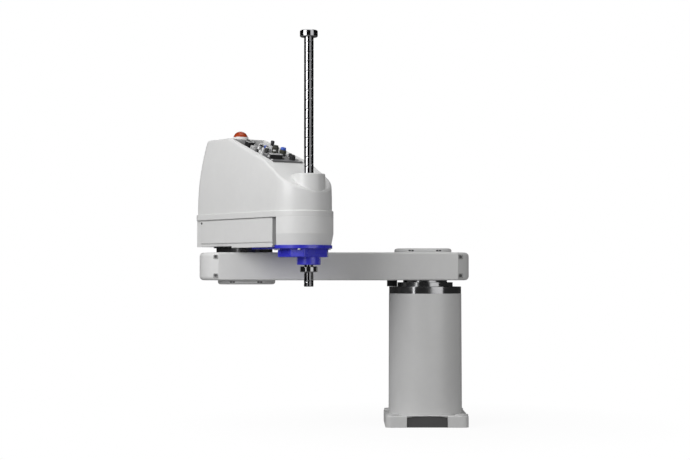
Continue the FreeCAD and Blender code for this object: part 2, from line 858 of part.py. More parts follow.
def forearm_casting():
    body = new_body("forearm")
    plan = sketch_on(body, "forearm_plan", "XY_Plane", forearm_base)
    casting_outline(plan, lifted(0))
    pad(body, plan, s.forearm_tall)

    def rear_corner(edge):
        return upright(edge) and edge.BoundBox.XMax < 0
    rounded(body, "forearm_rear_corners", s.forearm_rear_round, rear_corner)

    def nose_foot(edge):
        bounds = edge.BoundBox
        return level_at(forearm_base)(edge) and bounds.YLength > s.nose_radius.value
    doc.recompute()
    base = body.Tip
    edges = ["Edge%d" % n for n, edge in enumerate(base.Shape.Edges, 1) if nose_foot(edge)
             and edge.BoundBox.XMin > 0]
    taper = body.newObject("PartDesign::Chamfer", "nose_taper")
    taper.Base = (base, edges)
    taper.ChamferType = "Two distances"
    bind(taper, "Size", s.nose_taper)
    bind(taper, "Size2", s.nose_taper_tall)
    for name, side in (("near_rim", -1), ("far_rim", 1)):
        rim = sketch_on(body, name, "XY_Plane", forearm_base)
        across = (s.forearm_half - s.forearm_wall / 2) * side
        rectangle(rim, rim_end - s.rim_start, s.forearm_wall, (rim_end + s.rim_start) / 2, across)
        pad(body, rim, s.rim_tall, down=True)
    inside = sketch_on(body, "forearm_cavity", "XY_Plane", seam)
    casting_outline(inside, s.forearm_wall)
    pocket(body, inside, s.forearm_tall - s.forearm_floor)
    floor = sketch_on(body, "floor_holes", "XY_Plane", forearm_floor_top)
    circle(floor, s.spline_bearing_radius, s.forearm_length)
    circle(floor, s.hub_bore)
    pocket(body, floor, s.forearm_floor)
    on_forearm(body)
    return keep(body, "forearm_casting")


def side_panel(name, side):
    length = channel_start + s.side_panel_gap + s.side_panel_rear
    tall = s.forearm_tall - s.side_panel_drop - s.side_panel_gap
    middle = length / 2 - s.side_panel_rear
    y = side * (s.forearm_half + s.side_panel_thickness / 2)
    item = box(name + "_plate", length, s.side_panel_thickness, tall, middle, y,
               forearm_base + s.side_panel_drop)
    outer = y.value + side * s.side_panel_thickness.value / 2

    def outer_edge(edge):
        bounds = edge.BoundBox
        return abs(bounds.YMin - outer) < 1e-3 and bounds.YLength < 1e-3
    return keep(on_forearm(rounded_part(name + "_round", item, s.side_panel_thickness / 2, outer_edge)), name)


# Head cover


def cover_section(body, name, height, rear, half, inset):
    sketch = sketch_on(body, name, "XY_Plane", height)
    corner = s.cover_corner - inset
    near = half - inset
    back = -(rear - inset)
    end = nose_centre
    outline(sketch, [(back + corner, -near), (end, -near, near), (end + near, 0, near), (end, near),
                     (back + corner, near, corner), (back, near - corner), (back, corner - near, corner)])
    return sketch


panel_run = slope_end - s.slope_start
front_slope = s.front_drop / (front_end - slope_end)


def top_line(x, level):
    """Height of the cover's top over a place on the forearm: level, then the slope, then the front."""
    if x < s.slope_start.value:
        return level.value
    if x < slope_end.value:
        return level.value - s.slope_drop.value * (x - s.slope_start.value) / panel_run.value
    return level.value - s.slope_drop.value - front_slope.value * (x - slope_end.value)


def cover_form(name, inset):
    """The head's outer or inner form: three outlines lofted upward, then cut by the sloping top."""
    body = new_body(name)
    belt_half = s.cover_half - s.cover_belt_inset
    foot = cover_section(body, name + "_foot", seam, s.cover_rear, s.cover_half, inset)
    belt = cover_section(body, name + "_belt", seam + s.cover_belt, s.cover_rear - s.cover_belt_inset,
                         belt_half, inset)
    crown = cover_section(body, name + "_crown", cover_top + s.cover_crown_rise, s.cover_top_rear,
                          s.cover_top_half, inset)
    loft = body.newObject("PartDesign::AdditiveLoft", name + "_loft")
    loft.Profile = foot
    loft.Sections = [belt, crown]
    doc.recompute()
    top = sketch_on(body, name + "_top", "XZ_Plane")
    rear = -(s.cover_rear + s.cut_margin)
    high = cover_top + s.cut_margin
    front = front_end + s.cut_margin
    level = cover_top - inset
    low = level - s.slope_drop - front_slope * (front - slope_end)
    outline(top, [(rear, level), (s.slope_start, level), (slope_end, level - s.slope_drop), (front, low),
                  (front, high), (rear, high)])
    pocket(body, top, s.cover_half * 4, both=True)

    def along_top(edge):
        return all(abs(point.z - top_line(point.x, level)) < 1e-3 for point in edge.discretize(7))
    rounded(body, name + "_edges", s.cover_round - inset, along_top)
    return body


panel_fall = s.slope_drop - s.recess_depth
panel_length = root(panel_run * panel_run + panel_fall * panel_fall)


def slope_spot():
    """Where the user panel's recess starts. It is deepest here and runs out at the slope's lower end."""
    return spot(s.slope_start, 0, cover_top - s.recess_depth, slope_angle(panel_fall, panel_run), (0, 1, 0))


def on_panel(item, along=0, across=0, lift=0):
    forearm = spot(x=-s.upper_arm_length, turn=-s.elbow_angle)
    return put(item, forearm, slope_spot(), spot(along, across, lift))


def recess_block(name, margin):
    item = doc.addObject("Part::Box", name)
    bind(item, "Length", panel_length + s.recess_run_out + margin * 2)
    bind(item, "Width", (s.recess_half + margin) * 2)
    bind(item, "Height", s.cover_tall / 2)
    low = -(s.user_panel_thickness + margin)
    return put(item, slope_spot(), spot(-margin, -(s.recess_half + margin), low))


def cover_lip():
    """The wider band at the cover's foot."""
    body = new_body("cover_lip")
    plan = cover_section(body, "cover_lip_plan", seam, s.cover_rear, s.cover_half, -s.cover_lip)
    pad(body, plan, s.cover_lip_tall)
    rounded(body, "cover_lip_edge", s.cover_lip_round, level_at(seam + s.cover_lip_tall))
    return body


def head_cover():
    outer = cover_form("cover_outer", lifted(0))
    inner = cover_form("cover_inner", s.cover_wall)
    boss_base = seam + s.boss_tall - s.boss_cone
    boss_top = seam + s.boss_tall
    boss = doc.addObject("Part::Cone", "cover_boss")
    bind(boss, "Radius1", s.boss_radius)
    bind(boss, "Radius2", s.boss_top_radius)
    bind(boss, "Height", s.boss_cone)
    place(boss, s.forearm_length, 0, boss_base)
    solid = joined("cover_solid", outer, cover_lip(), boss)
    smooth = rounded_part("cover_smooth", solid, s.boss_round, level_at(boss_top))
    room = cylinder("cover_boss_room", s.boss_top_radius - s.cover_wall, s.boss_cone - s.cover_wall,
                    s.forearm_length, 0, boss_base)
    bore = cylinder("cover_bore", s.boss_bore, s.boss_tall, s.forearm_length, 0, seam + s.cover_wall)
    lowered = less("cover_inner_below_panel", inner, recess_block("cover_recess_backing", s.cover_wall))
    hollow = less("cover_hollow", smooth, lowered, room, bore, recess_block("cover_recess", lifted(0)))
    return keep(on_forearm(hollow), "head_cover")


# Nose guard


def guard_form():
    """The thin plate under the casting with the faceted block below it."""
    body = new_body("guard_form")
    radius = s.guard_plate_radius
    front = nose_centre + radius
    narrow = s.guard_rear_half
    plate = sketch_on(body, "guard_plate", "XY_Plane", forearm_base)
    outline(plate, [(guard_rear, -narrow), (guard_shoulder, -narrow), (nose_centre, -radius, radius),
                    (front, 0, radius), (nose_centre, radius), (guard_shoulder, narrow),
                    (guard_rear, narrow)])
    pad(body, plate, s.guard_plate_tall, down=True)
    plate_base = forearm_base - s.guard_plate_tall
    block = sketch_on(body, "guard_block", "XY_Plane", plate_base)
    wide, flat = s.guard_block_half, s.guard_front_half
    outline(block, [(guard_block_rear, -wide), (guard_block_bend, -wide), (guard_block_front, -flat),
                    (guard_block_front, flat), (guard_block_bend, wide), (guard_block_rear, wide)])
    pad(body, block, s.guard_block_tall, down=True)

    def block_corner(edge):
        return upright(edge) and edge.BoundBox.ZMax < plate_base.value + 1e-3
    rounded(body, "guard_corners", s.guard_round, block_corner)
    block_base = plate_base - s.guard_block_tall
    rounded(body, "guard_edge", s.guard_edge, level_at(block_base))
    nozzle = sketch_on(body, "guard_nozzle", "XY_Plane", block_base)
    circle(nozzle, s.guard_nozzle_radius, s.forearm_length)
    pad(body, nozzle, s.guard_nozzle_tall, down=True)
    rounded(body, "guard_nozzle_edge", s.guard_edge, level_at(guard_base))
    bore = sketch_on(body, "guard_bore", "XY_Plane", forearm_base)
    circle(bore, s.guard_nozzle_radius - s.guard_wall, s.forearm_length)
    pocket(body, bore, forearm_base - guard_base)
    return body


def nose_guard():
    screws = []
    for number, (along, across) in enumerate(((guard_screw_rear, -s.guard_screw_side),
                                              (guard_screw_rear, s.guard_screw_side),
                                              (guard_screw_front, -s.guard_screw_flank),
                                              (guard_screw_front, s.guard_screw_flank))):
        screw = cylinder("guard_screw_%d" % number, s.screw_head, s.screw_head_tall)
        screws.append(on_forearm(screw, along, across, forearm_base - s.guard_plate_tall - s.screw_head_tall))
    group("nose_guard_screws", screws)
    return keep(on_forearm(guard_form()), "nose_guard")


# Shaft, collars, nuts


def shaft():
    body = new_body("shaft")
    ring = sketch_on(body, "shaft_ring", "XY_Plane", shaft_lowest)
    circle(ring, s.shaft_radius)
    circle(ring, s.shaft_bore)
    pad(body, ring, s.shaft_length)
    groove = sketch_on(body, "shaft_groove", "XY_Plane", shaft_lowest)
    deep = s.shaft_groove_depth * 2
    rectangle(groove, deep, s.shaft_groove_width, s.shaft_radius)
    cut = pocket(body, groove, s.shaft_length, up=True)
    pattern = body.newObject("PartDesign::PolarPattern", "shaft_grooves")
    pattern.Originals = [cut]
    pattern.Axis = (ring, ["N_Axis"])
    pattern.Angle = 360
    pattern.Occurrences = 3
    body.Tip = pattern
    seat = sketch_on(body, "shaft_collar_seat", "XY_Plane", bottom_collar_base)
    circle(seat, s.shaft_radius)
    circle(seat, s.shaft_radius - s.collar_seat_depth)
    pocket(body, seat, s.collar_seat_tall, up=True)
    place(body, x=s.forearm_length * cosine(s.elbow_angle) - s.upper_arm_length,
          y=-s.forearm_length * sine(s.elbow_angle), turn=-s.elbow_angle)
    return keep(body, "spline_shaft")


def collar(name, base, tall):
    """A split clamp collar with bevelled rims and a bore for its clamp screw."""
    bevel = s.collar_bevel
    outer = s.collar_radius - bevel
    top = base + tall
    ring = turned(name + "_ring", [(s.shaft_radius, base), (outer, base), (s.collar_radius, base + bevel),
                                   (s.collar_radius, top - bevel), (outer, top), (s.shaft_radius, top)])
    place(ring, s.forearm_length)
    slot = box(name + "_slot", s.collar_radius, s.collar_slot, tall, s.forearm_length - s.collar_radius / 2,
               0, base)
    hole = doc.addObject("Part::Cylinder", name + "_screw_hole")
    bind(hole, "Radius", s.collar_screw)
    bind(hole, "Height", s.collar_radius * 2)
    place(hole, s.forearm_length - (s.collar_radius + s.shaft_radius) / 2, s.collar_radius, base + tall / 2,
          turn=90, axis=(1, 0, 0))
    return keep(on_forearm(less(name + "_form", ring, slot, hole)), name)


def belt(name, near_x, near_radius, base):
    """A flat loop round the motor pulley and the shaft pulley, a little clear of both."""
    centres = (near_x.value, s.forearm_length.value)
    radii = (near_radius.value, s.shaft_pulley_radius.value)
    faces = []
    for grow in (s.belt_clear.value + s.belt_thickness.value, s.belt_clear.value):
        span = centres[1] - centres[0]
        small, large = radii[0] + grow, radii[1] + grow
        lean = math.asin((large - small) / span)

        def rim(centre, radius, angle):
            return FreeCAD.Vector(centre + radius * math.cos(angle), radius * math.sin(angle), 0)
        upper = math.pi / 2 + lean
        start, end = rim(centres[0], small, upper), rim(centres[1], large, upper)
        low_start, low_end = rim(centres[0], small, -upper), rim(centres[1], large, -upper)
        back = rim(centres[0], small, math.pi)
        front = rim(centres[1], large, 0)
        edges = [Part.LineSegment(start, end).toShape(), Part.Arc(end, front, low_end).toShape(),
                 Part.LineSegment(low_end, low_start).toShape(), Part.Arc(low_start, back, start).toShape()]
        faces.append(Part.Face(Part.Wire(edges)))
    item = doc.addObject("Part::Feature", name + "_loop")
    loop = faces[0].cut(faces[1]).extrude(FreeCAD.Vector(0, 0, s.belt_width.value))
    item.Shape = loop
    return keep(on_forearm(item, z=base), name)


def sleeve(name, bore, radius, base, tall, x):
    """A plain round sleeve on an upright axis of the forearm."""
    body = turned(name + "_form", [(bore, base), (radius, base), (radius, base + tall), (bore, base + tall)])
    return keep(on_forearm(body, x), name)


def pulley(name, bore, radius, base, x):
    rim = radius + s.pulley_flange
    top = base + s.pulley_tall
    body = turned(name + "_form", [(bore, base), (rim, base), (rim, base + s.pulley_flange),
                                   (radius, base + s.pulley_flange), (radius, top - s.pulley_flange),
                                   (rim, top - s.pulley_flange), (rim, top), (bore, top)])
    return keep(on_forearm(body, x), name)


# The forearm's two belt drives, from the floor up

roll_pulley_base = forearm_base + s.spline_bearing_tall + s.running_gap
lift_pulley_base = seam - s.lift_pulley_drop
nut_bearing_base = lift_pulley_base + s.pulley_tall + s.running_gap
roll_plate_base = roll_pulley_base + s.pulley_tall + s.plate_gap
lift_plate_base = lift_pulley_base + s.pulley_tall + s.plate_gap
shaft_running_bore = s.shaft_radius + s.shaft_fit


def roll_drive():
    nut_base = guard_base + s.spline_nut_rise
    nut_tall = roll_pulley_base + s.pulley_tall + s.nut_collar - nut_base
    sleeve("spline_nut", shaft_running_bore, s.spline_nut_radius, nut_base, nut_tall, s.forearm_length)
    sleeve("spline_nut_bearing", s.spline_nut_radius + s.bearing_clearance, s.spline_bearing_radius,
           forearm_base, s.spline_bearing_tall, s.forearm_length)
    pulley("roll_shaft_pulley", s.spline_nut_radius, s.shaft_pulley_radius, roll_pulley_base,
           s.forearm_length)
    pulley("roll_motor_pulley", s.motor_shaft_radius + s.bearing_clearance, s.motor_pulley_radius,
           roll_pulley_base, roll_motor_place)
    middle = (s.pulley_tall - s.belt_width) / 2
    belt("roll_belt", roll_motor_place, s.motor_pulley_radius, roll_pulley_base + middle)


def lift_drive():
    nut_base = lift_pulley_base - s.nut_collar
    sleeve("ball_screw_nut", shaft_running_bore, s.ball_nut_radius, nut_base, s.ball_nut_tall,
           s.forearm_length)
    sleeve("ball_nut_bearing", s.ball_nut_radius + s.bearing_clearance, s.spline_bearing_radius,
           nut_bearing_base, s.spline_bearing_tall, s.forearm_length)
    pulley("lift_shaft_pulley", s.ball_nut_radius, s.shaft_pulley_radius, lift_pulley_base, s.forearm_length)
    pulley("lift_motor_pulley", s.motor_shaft_radius + s.bearing_clearance, s.motor_pulley_radius,
           lift_pulley_base, lift_motor_place)
    middle = (s.pulley_tall - s.belt_width) / 2
    belt("lift_belt", lift_motor_place, s.motor_pulley_radius, lift_pulley_base + middle)


def legs(name, place_x, length, tall):
    half = s.bracket_half - s.bracket_leg / 2
    return [box(name + "_leg_%d" % (side + 1), length, s.bracket_leg, tall, place_x, half * side,
                forearm_floor_top) for side in (-1, 1)]


def motor_bracket(name, place_x, base):
    plate = box(name + "_plate", s.small_motor_width, s.bracket_half * 2, s.motor_plate_thickness, place_x, 0,
                base)
    hole = cylinder(name + "_hole", s.motor_shaft_radius + s.plate_gap, s.motor_plate_thickness, place_x, 0,
                    base)
    stand = legs(name, place_x, s.bracket_leg_length, base - forearm_floor_top)
    solid = joined(name + "_solid", plate, *stand)
    return keep(on_forearm(less(name + "_form", solid, hole)), name)


def nut_bracket():
    disc = cylinder("nut_bracket_disc", s.nose_radius - s.forearm_wall - s.nut_bracket_room,
                    s.nut_bracket_thickness, nose_centre, 0, nut_bearing_base)
    block = box("nut_bracket_block", s.nut_bracket_length, s.bracket_half * 2, s.nut_bracket_thickness,
                s.forearm_length, 0, nut_bearing_base)
    plate = common("nut_bracket_plate", disc, block)
    stand = legs("nut_bracket", nose_centre + s.nut_bracket_room, s.bracket_leg_length,
                 nut_bearing_base - forearm_floor_top)
    solid = joined("nut_bracket_solid", plate, *stand)
    hole = cylinder("nut_bracket_hole", s.spline_bearing_radius, s.nut_bracket_thickness, s.forearm_length, 0,
                    nut_bearing_base)
    return keep(on_forearm(less("nut_bracket_form", solid, hole)), "nut_bracket")


# Head fittings


def user_panel():
    item = doc.addObject("Part::Box", "panel_plate")
    bind(item, "Length", panel_length - s.panel_margin)
    bind(item, "Width", (s.recess_half - s.panel_margin) * 2)
    bind(item, "Height", s.user_panel_thickness)
    on_panel(item, s.panel_margin, s.panel_margin - s.recess_half, -s.user_panel_thickness)
    return keep(item, "user_panel")


def group(name, pieces):
    item = doc.addObject("Part::Compound", name + "_group")
    item.Links = pieces
    return keep(item, name)


def fitting(name, radius, tall, along, across):
    """A push-in air fitting: its wide foot, a waist, the collar, and the release ring on top."""
    foot, waist = tall * s.fitting_foot, radius * s.fitting_waist
    collar_base, bevel = tall * s.fitting_collar, radius * s.fitting_bevel
    body = turned(name, [(0, 0), (radius, 0), (radius, foot), (waist, foot), (waist, collar_base),
                         (radius, collar_base), (radius, tall - bevel), (radius - bevel, tall), (0, tall)])
    inner, outer = radius * s.ring_inner, radius * s.ring_outer
    rise = tall + radius * s.ring_rise
    ring = turned(name + "_ring", [(inner, tall), (outer, tall), (outer, rise), (inner, rise)])
    return on_panel(body, along, across), on_panel(ring, along, across)


def fittings(name, across, radius, tall):
    rows = [fitting("%s_%d" % (name, number), radius, tall, along, across)
            for number, along in enumerate((s.fitting_row_rear, s.fitting_row_front))]
    group(name + "s", [body for body, ring in rows])
    group(name + "_rings", [ring for body, ring in rows])


def panel_connector(name, along, across, depth, width, tall):
    """A rectangular connector: its mounting flange, the narrower shell and the mouth in the shell."""
    def block(part_name, deep, wide, high, lift=0):
        item = doc.addObject("Part::Box", name + part_name)
        bind(item, "Length", deep)
        bind(item, "Width", wide)
        bind(item, "Height", high)
        return on_panel(item, along - lifted(deep) / 2, across - lifted(wide) / 2, lift)
    wall = s.connector_wall
    flange = block("_flange", depth, width, s.connector_flange)
    shell = block("_shell", depth - wall, width - s.connector_ear * 2, tall)
    mouth = block("_mouth", depth - wall * 3, width - s.connector_ear * 2 - wall * 2, tall,
                  s.connector_flange)
    keep(less(name + "_form", joined(name + "_solid", flange, shell), mouth), name)


def panel_fittings():
    fittings("large_air_fitting", s.fitting_row_far, s.large_fitting_radius, s.large_fitting_tall)
    fittings("small_air_fitting", s.fitting_row_middle, s.small_fitting_radius, s.small_fitting_tall)
    panel_connector("user_connector_large", s.large_connector_along, s.connector_across, s.connector_depth,
                    s.large_connector_width, s.connector_tall)
    panel_connector("user_connector_small", s.small_connector_along, s.connector_across, s.connector_depth,
                    s.small_connector_width, s.connector_tall)
    panel_connector("network_socket", s.network_along, s.connector_across, s.network_size,
                    s.network_size + s.connector_ear * 2, s.network_size)


def brake_button():
    inner = s.button_radius + s.running_gap
    outer = s.button_radius + s.button_wall
    cup = turned("brake_button_guard_form", [(0, 0), (outer, 0), (outer, s.button_guard_tall),
                                             (inner, s.button_guard_tall), (inner, s.button_wall),
                                             (0, s.button_wall)])
    keep(on_panel(cup, s.button_along, s.button_across), "brake_button_guard")
    base = s.button_wall + s.button_travel + s.running_gap
    top = s.button_guard_tall + s.button_proud
    cap = turned("brake_release_button_form", [(0, base), (s.button_radius, base), (s.button_radius, top),
                                               (0, top)])
    keep(on_panel(cap, s.button_along, s.button_across), "brake_release_button")


def lamp():
    base = turned("lamp_base_form", [(0, cover_top), (s.lamp_radius + s.lamp_rim, cover_top),
                                     (s.lamp_radius + s.lamp_rim, cover_top + s.lamp_base_tall),
                                     (0, cover_top + s.lamp_base_tall)])
    keep(on_forearm(base, -s.lamp_place), "lamp_base")
    foot = cover_top + s.lamp_base_tall
    half, rise = s.lamp_radius, s.lamp_dome_tall
    arc = (half * half + rise * rise) / (rise * 2)
    dome = turned("lamp_dome_form", [(0, foot), (half, foot, arc), (0, foot + rise)])
    return keep(on_forearm(dome, -s.lamp_place), "lamp_dome")


def rear_connectors():
    face = rear_box_reach + s.rear_panel_thickness
    middle = s.foot_thickness + s.rear_box_tall / 2
    upper = middle + s.power_connector_radius

    def plug(name, radius, reach, x, z):
        item = doc.addObject("Part::Cylinder", name)
        bind(item, "Radius", radius)
        bind(item, "Height", reach)
        return place(item, x, face, z, turn=-90, axis=(1, 0, 0))
    shell = plug("power_plug_shell", s.power_connector_radius, s.power_connector_reach,
                 -s.power_connector_place, upper)
    flange = box("power_plug_flange", s.power_flange, s.rear_panel_thickness, s.power_flange,
                 -s.power_connector_place, face + s.rear_panel_thickness / 2, upper - s.power_flange / 2)
    keep(joined("power_plug_form", flange, shell), "power_connector")
    reach, deep = s.signal_connector_reach, s.rear_panel_thickness
    plate = box("signal_flange", s.signal_connector_width, deep, s.signal_connector_tall,
                s.signal_connector_place, face + deep / 2, upper - s.signal_connector_tall / 2)
    socket = box("signal_socket", s.signal_connector_width - s.connector_ear * 4, reach,
                 s.signal_connector_tall - s.connector_wall * 2, s.signal_connector_place, face + reach / 2,
                 upper - s.signal_connector_tall / 2 + s.connector_wall)
    keep(joined("signal_form", plate, socket), "signal_connector")
    row = [plug("base_fitting_%d" % (n + 1), s.small_fitting_radius, s.small_fitting_tall,
                n * s.base_fitting_pitch - s.base_fitting_row / 2, middle - s.power_connector_radius)
           for n in range(4)]
    keep(joined("base_fittings_row", *row), "base_air_fittings")


def build():
    base_casting()
    rear_panel()
    rear_connectors()
    shoulder_housing()
    shoulder_flange()
    fixed_stop()
    moving_stop()
    servo("shoulder_motor", s.large_motor_width, s.shoulder_motor_tall, column_top - s.spigot_tall,
          spindle=s.shoulder_spindle)
    arm_casting()
    upper = joint_cover("shoulder_joint_cover", -s.joint_cover_shift, arm_top, False)
    lower = joint_cover("elbow_joint_cover", s.joint_cover_shift - s.upper_arm_length, arm_base, True)
    group("joint_cover_screws", upper + lower)
    elbow = end_cap("elbow_end_cap", -(s.upper_arm_length + s.elbow_overhang), s.elbow_cap_length, -1)
    shoulder = end_cap("shoulder_end_cap", s.shoulder_overhang, s.shoulder_cap_length, 1)
    group("end_cap_screws", elbow + shoulder)
    elbow_housing()
    elbow_flange()
    forearm_casting()
    side_panel("near_side_panel", -1)
    side_panel("far_side_panel", 1)
    head_cover()
    nose_guard()
    shaft()
    collar("top_stop_collar", shaft_top - s.top_collar_tall, s.top_collar_tall)
    collar("bottom_stop_collar", bottom_collar_base, s.bottom_collar_tall)
    roll_drive()
    lift_drive()
    motor_bracket("roll_motor_bracket", roll_motor_place, roll_plate_base)
    motor_bracket("lift_motor_bracket", lift_motor_place, lift_plate_base)
    nut_bracket()
    servo("elbow_motor", s.large_motor_width, s.elbow_motor_tall, forearm_floor_top, up=True,
          spindle=s.forearm_floor, carried=True)
    servo("roll_motor", s.small_motor_width, s.roll_motor_tall, roll_plate_base + s.motor_plate_thickness,
          x=roll_motor_place, up=True, spindle=s.motor_plate_thickness + s.plate_gap + s.pulley_tall,
          carried=True)
    servo("lift_motor", s.small_motor_width, s.lift_motor_tall, lift_plate_base + s.motor_plate_thickness,
          x=lift_motor_place, up=True, spindle=s.motor_plate_thickness + s.plate_gap + s.pulley_tall,
          carried=True)
    user_panel()
    panel_fittings()
    brake_button()
    lamp()


def check():
    doc.recompute()
    faults = [item.Name + " " + ", ".join(item.State) for item in doc.Objects
              if "Invalid" in item.State or "Error" in item.State]
    faults += [item.Label + " has no valid shape" for item in kept
               if item.Shape.isNull() or not item.Shape.isValid() or not item.Shape.Solids]
    if faults:
        raise RuntimeError("; ".join(faults))


def write():
    os.makedirs("parts", exist_ok=True)
    for item in kept:
        item.Shape.exportStep("parts/%s.step" % item.Label)


build()
check()
write()
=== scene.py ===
import bpy
import bmesh
import json
import math
from mathutils import Matrix, Vector
from mathutils.bvhtree import BVHTree

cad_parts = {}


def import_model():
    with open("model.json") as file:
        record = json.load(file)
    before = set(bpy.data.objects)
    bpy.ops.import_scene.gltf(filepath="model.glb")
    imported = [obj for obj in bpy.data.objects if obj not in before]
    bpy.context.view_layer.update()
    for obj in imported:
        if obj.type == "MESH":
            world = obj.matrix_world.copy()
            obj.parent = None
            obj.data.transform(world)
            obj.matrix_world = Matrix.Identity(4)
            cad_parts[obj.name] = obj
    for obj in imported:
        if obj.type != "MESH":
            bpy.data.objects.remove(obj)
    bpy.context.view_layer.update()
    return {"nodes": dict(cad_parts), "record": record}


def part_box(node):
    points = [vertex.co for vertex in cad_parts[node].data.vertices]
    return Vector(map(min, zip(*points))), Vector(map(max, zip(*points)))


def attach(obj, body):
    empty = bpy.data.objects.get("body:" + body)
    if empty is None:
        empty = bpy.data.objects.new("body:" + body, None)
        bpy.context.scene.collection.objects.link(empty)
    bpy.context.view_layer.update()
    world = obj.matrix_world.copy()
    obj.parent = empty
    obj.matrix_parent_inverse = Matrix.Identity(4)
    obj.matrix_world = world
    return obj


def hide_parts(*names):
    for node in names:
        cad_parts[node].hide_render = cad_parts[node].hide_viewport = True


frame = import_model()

nodes = frame["nodes"]
CIRCLE = 2.0 * math.pi
SIDES = (-1.0, 1.0)
ORIGIN = (0.0, 0.0, 0.0)


# Finishes. Lengths and places in materials are in metres.


class Tree:
    """A node material built step by step round one Principled shader."""

    def __init__(self, name):
        self.material = bpy.data.materials.new(name)
        self.material.use_nodes = True
        self.nodes = self.material.node_tree.nodes
        self.links = self.material.node_tree.links
        self.nodes.clear()
        self.out = self.nodes.new("ShaderNodeOutputMaterial")
        self.shader = self.nodes.new("ShaderNodeBsdfPrincipled")
        self.link(self.shader.outputs[0], self.out.inputs[0])
        self.place = self.nodes.new("ShaderNodeTexCoord").outputs["Object"]

    def link(self, source, target):
        self.links.new(source, target)

    def feed(self, socket, value):
        """Links a socket's value, or sets it if it is a plain one."""
        if isinstance(value, bpy.types.NodeSocket):
            self.link(value, socket)
        else:
            socket.default_value = value

    def math(self, operation, first, second):
        node = self.nodes.new("ShaderNodeMath")
        node.operation = operation
        self.feed(node.inputs[0], first)
        self.feed(node.inputs[1], second)
        return node.outputs[0]

    def vector(self, operation, first, second=ORIGIN):
        node = self.nodes.new("ShaderNodeVectorMath")
        node.operation = operation
        self.feed(node.inputs[0], first)
        self.feed(node.inputs[1], second)
        return node.outputs["Value"] if operation == "LENGTH" else node.outputs["Vector"]

    def split(self, vector):
        node = self.nodes.new("ShaderNodeSeparateXYZ")
        self.link(vector, node.inputs[0])
        return node.outputs

    def noise(self, scale, detail, rough=0.5, place=None):
        node = self.nodes.new("ShaderNodeTexNoise")
        self.link(self.place if place is None else place, node.inputs["Vector"])
        node.inputs["Scale"].default_value = scale
        node.inputs["Detail"].default_value = detail
        node.inputs["Roughness"].default_value = rough
        return node.outputs["Fac"]

    def spread(self, value, low, high, start, end):
        """Maps a value from start and end to low and high."""
        node = self.nodes.new("ShaderNodeMapRange")
        self.link(value, node.inputs["Value"])
        node.inputs["From Min"].default_value = start
        node.inputs["From Max"].default_value = end
        node.inputs["To Min"].default_value = low
        node.inputs["To Max"].default_value = high
        return node.outputs[0]

    def ramp(self, value, first, second):
        """Blends two colours, each with its place on the ramp."""
        node = self.nodes.new("ShaderNodeValToRGB")
        self.link(value, node.inputs[0])
        for element, (place, colour) in zip(node.color_ramp.elements, (first, second)):
            element.position = place
            element.color = (*colour, 1.0)
        return node.outputs[0]

    def bump(self, height, strength, distance):
        node = self.nodes.new("ShaderNodeBump")
        node.inputs["Strength"].default_value = strength
        node.inputs["Distance"].default_value = distance
        self.link(height, node.inputs["Height"])
        return node

    def soft_edge(self, radius):
        node = self.nodes.new("ShaderNodeBevel")
        node.samples = 6
        node.inputs["Radius"].default_value = radius
        return node.outputs[0]

    def patched(self, paint, low, high, colour):
        """Another colour on the surface inside a box, such as a milled recess."""
        middle = [(a + b) / 2 for a, b in zip(low, high)]
        half = [(b - a) / 2 for a, b in zip(low, high)]
        away = self.split(self.vector("ABSOLUTE", self.vector("SUBTRACT", self.place, middle)))
        inside = 1.0
        for axis in range(3):
            inside = self.math("MULTIPLY", self.math("LESS_THAN", away[axis], half[axis]), inside)
        mix = self.nodes.new("ShaderNodeMix")
        mix.data_type = "RGBA"
        factor, base, patch = mix.inputs[0], mix.inputs[6], mix.inputs[7]
        self.link(inside, factor)
        self.link(paint, base)
        patch.default_value = (*colour, 1.0)
        return mix.outputs[2]

    def turning(self, centre, lines):
        """Fine lathe lines: rings on the flat faces and level lines on the round ones."""
        offset = self.vector("SUBTRACT", self.place, (*centre, 0.0))
        flat = self.vector("MULTIPLY", offset, (1.0, 1.0, 0.0))
        join = self.nodes.new("ShaderNodeCombineXYZ")
        self.link(self.vector("LENGTH", flat), join.inputs[0])
        self.link(self.split(self.place)[2], join.inputs[1])
        return self.noise(lines, detail=3.0, rough=0.6, place=join.outputs[0])


def shade(factor, colour):
    return tuple(min(1.0, channel * factor) for channel in colour)


def finish(name, colour, rough, metallic=0.0, grain=900.0, relief=0.05, depth=0.0002, edge=0.0006,
           drift=0.03, rough_drift=0.06, coat=0.0, specular=0.5, lathe=None, patch=None):
    """Paint, plastic or metal with fine surface grain, slow colour drift and softened edges."""
    tree = Tree(name)
    shader = tree.shader
    slow = tree.noise(scale=7.0, detail=4.0, rough=0.55)
    mottle = tree.noise(scale=60.0, detail=3.0, rough=0.6)
    tone = tree.math("ADD", tree.math("MULTIPLY", slow, 0.65), tree.math("MULTIPLY", mottle, 0.35))
    paint = tree.ramp(tone, (0.3, shade(1.0 - drift, colour)), (0.7, shade(1.0 + drift, colour)))
    if patch is not None:
        paint = tree.patched(paint, *patch)
    worn = tree.spread(tree.noise(scale=35.0, detail=3.0), low=rough - rough_drift, high=rough + rough_drift,
                       start=0.3, end=0.7)
    height = tree.noise(grain, detail=3.0, rough=0.55) if lathe is None else tree.turning(lathe, grain)
    bump = tree.bump(height, relief, depth)
    tree.link(tree.soft_edge(edge), bump.inputs["Normal"])
    tree.link(paint, shader.inputs["Base Color"])
    tree.link(worn, shader.inputs["Roughness"])
    tree.link(bump.outputs[0], shader.inputs["Normal"])
    shader.inputs["Metallic"].default_value = metallic
    shader.inputs["Coat Weight"].default_value = coat
    shader.inputs["Specular IOR Level"].default_value = specular
    return tree.material


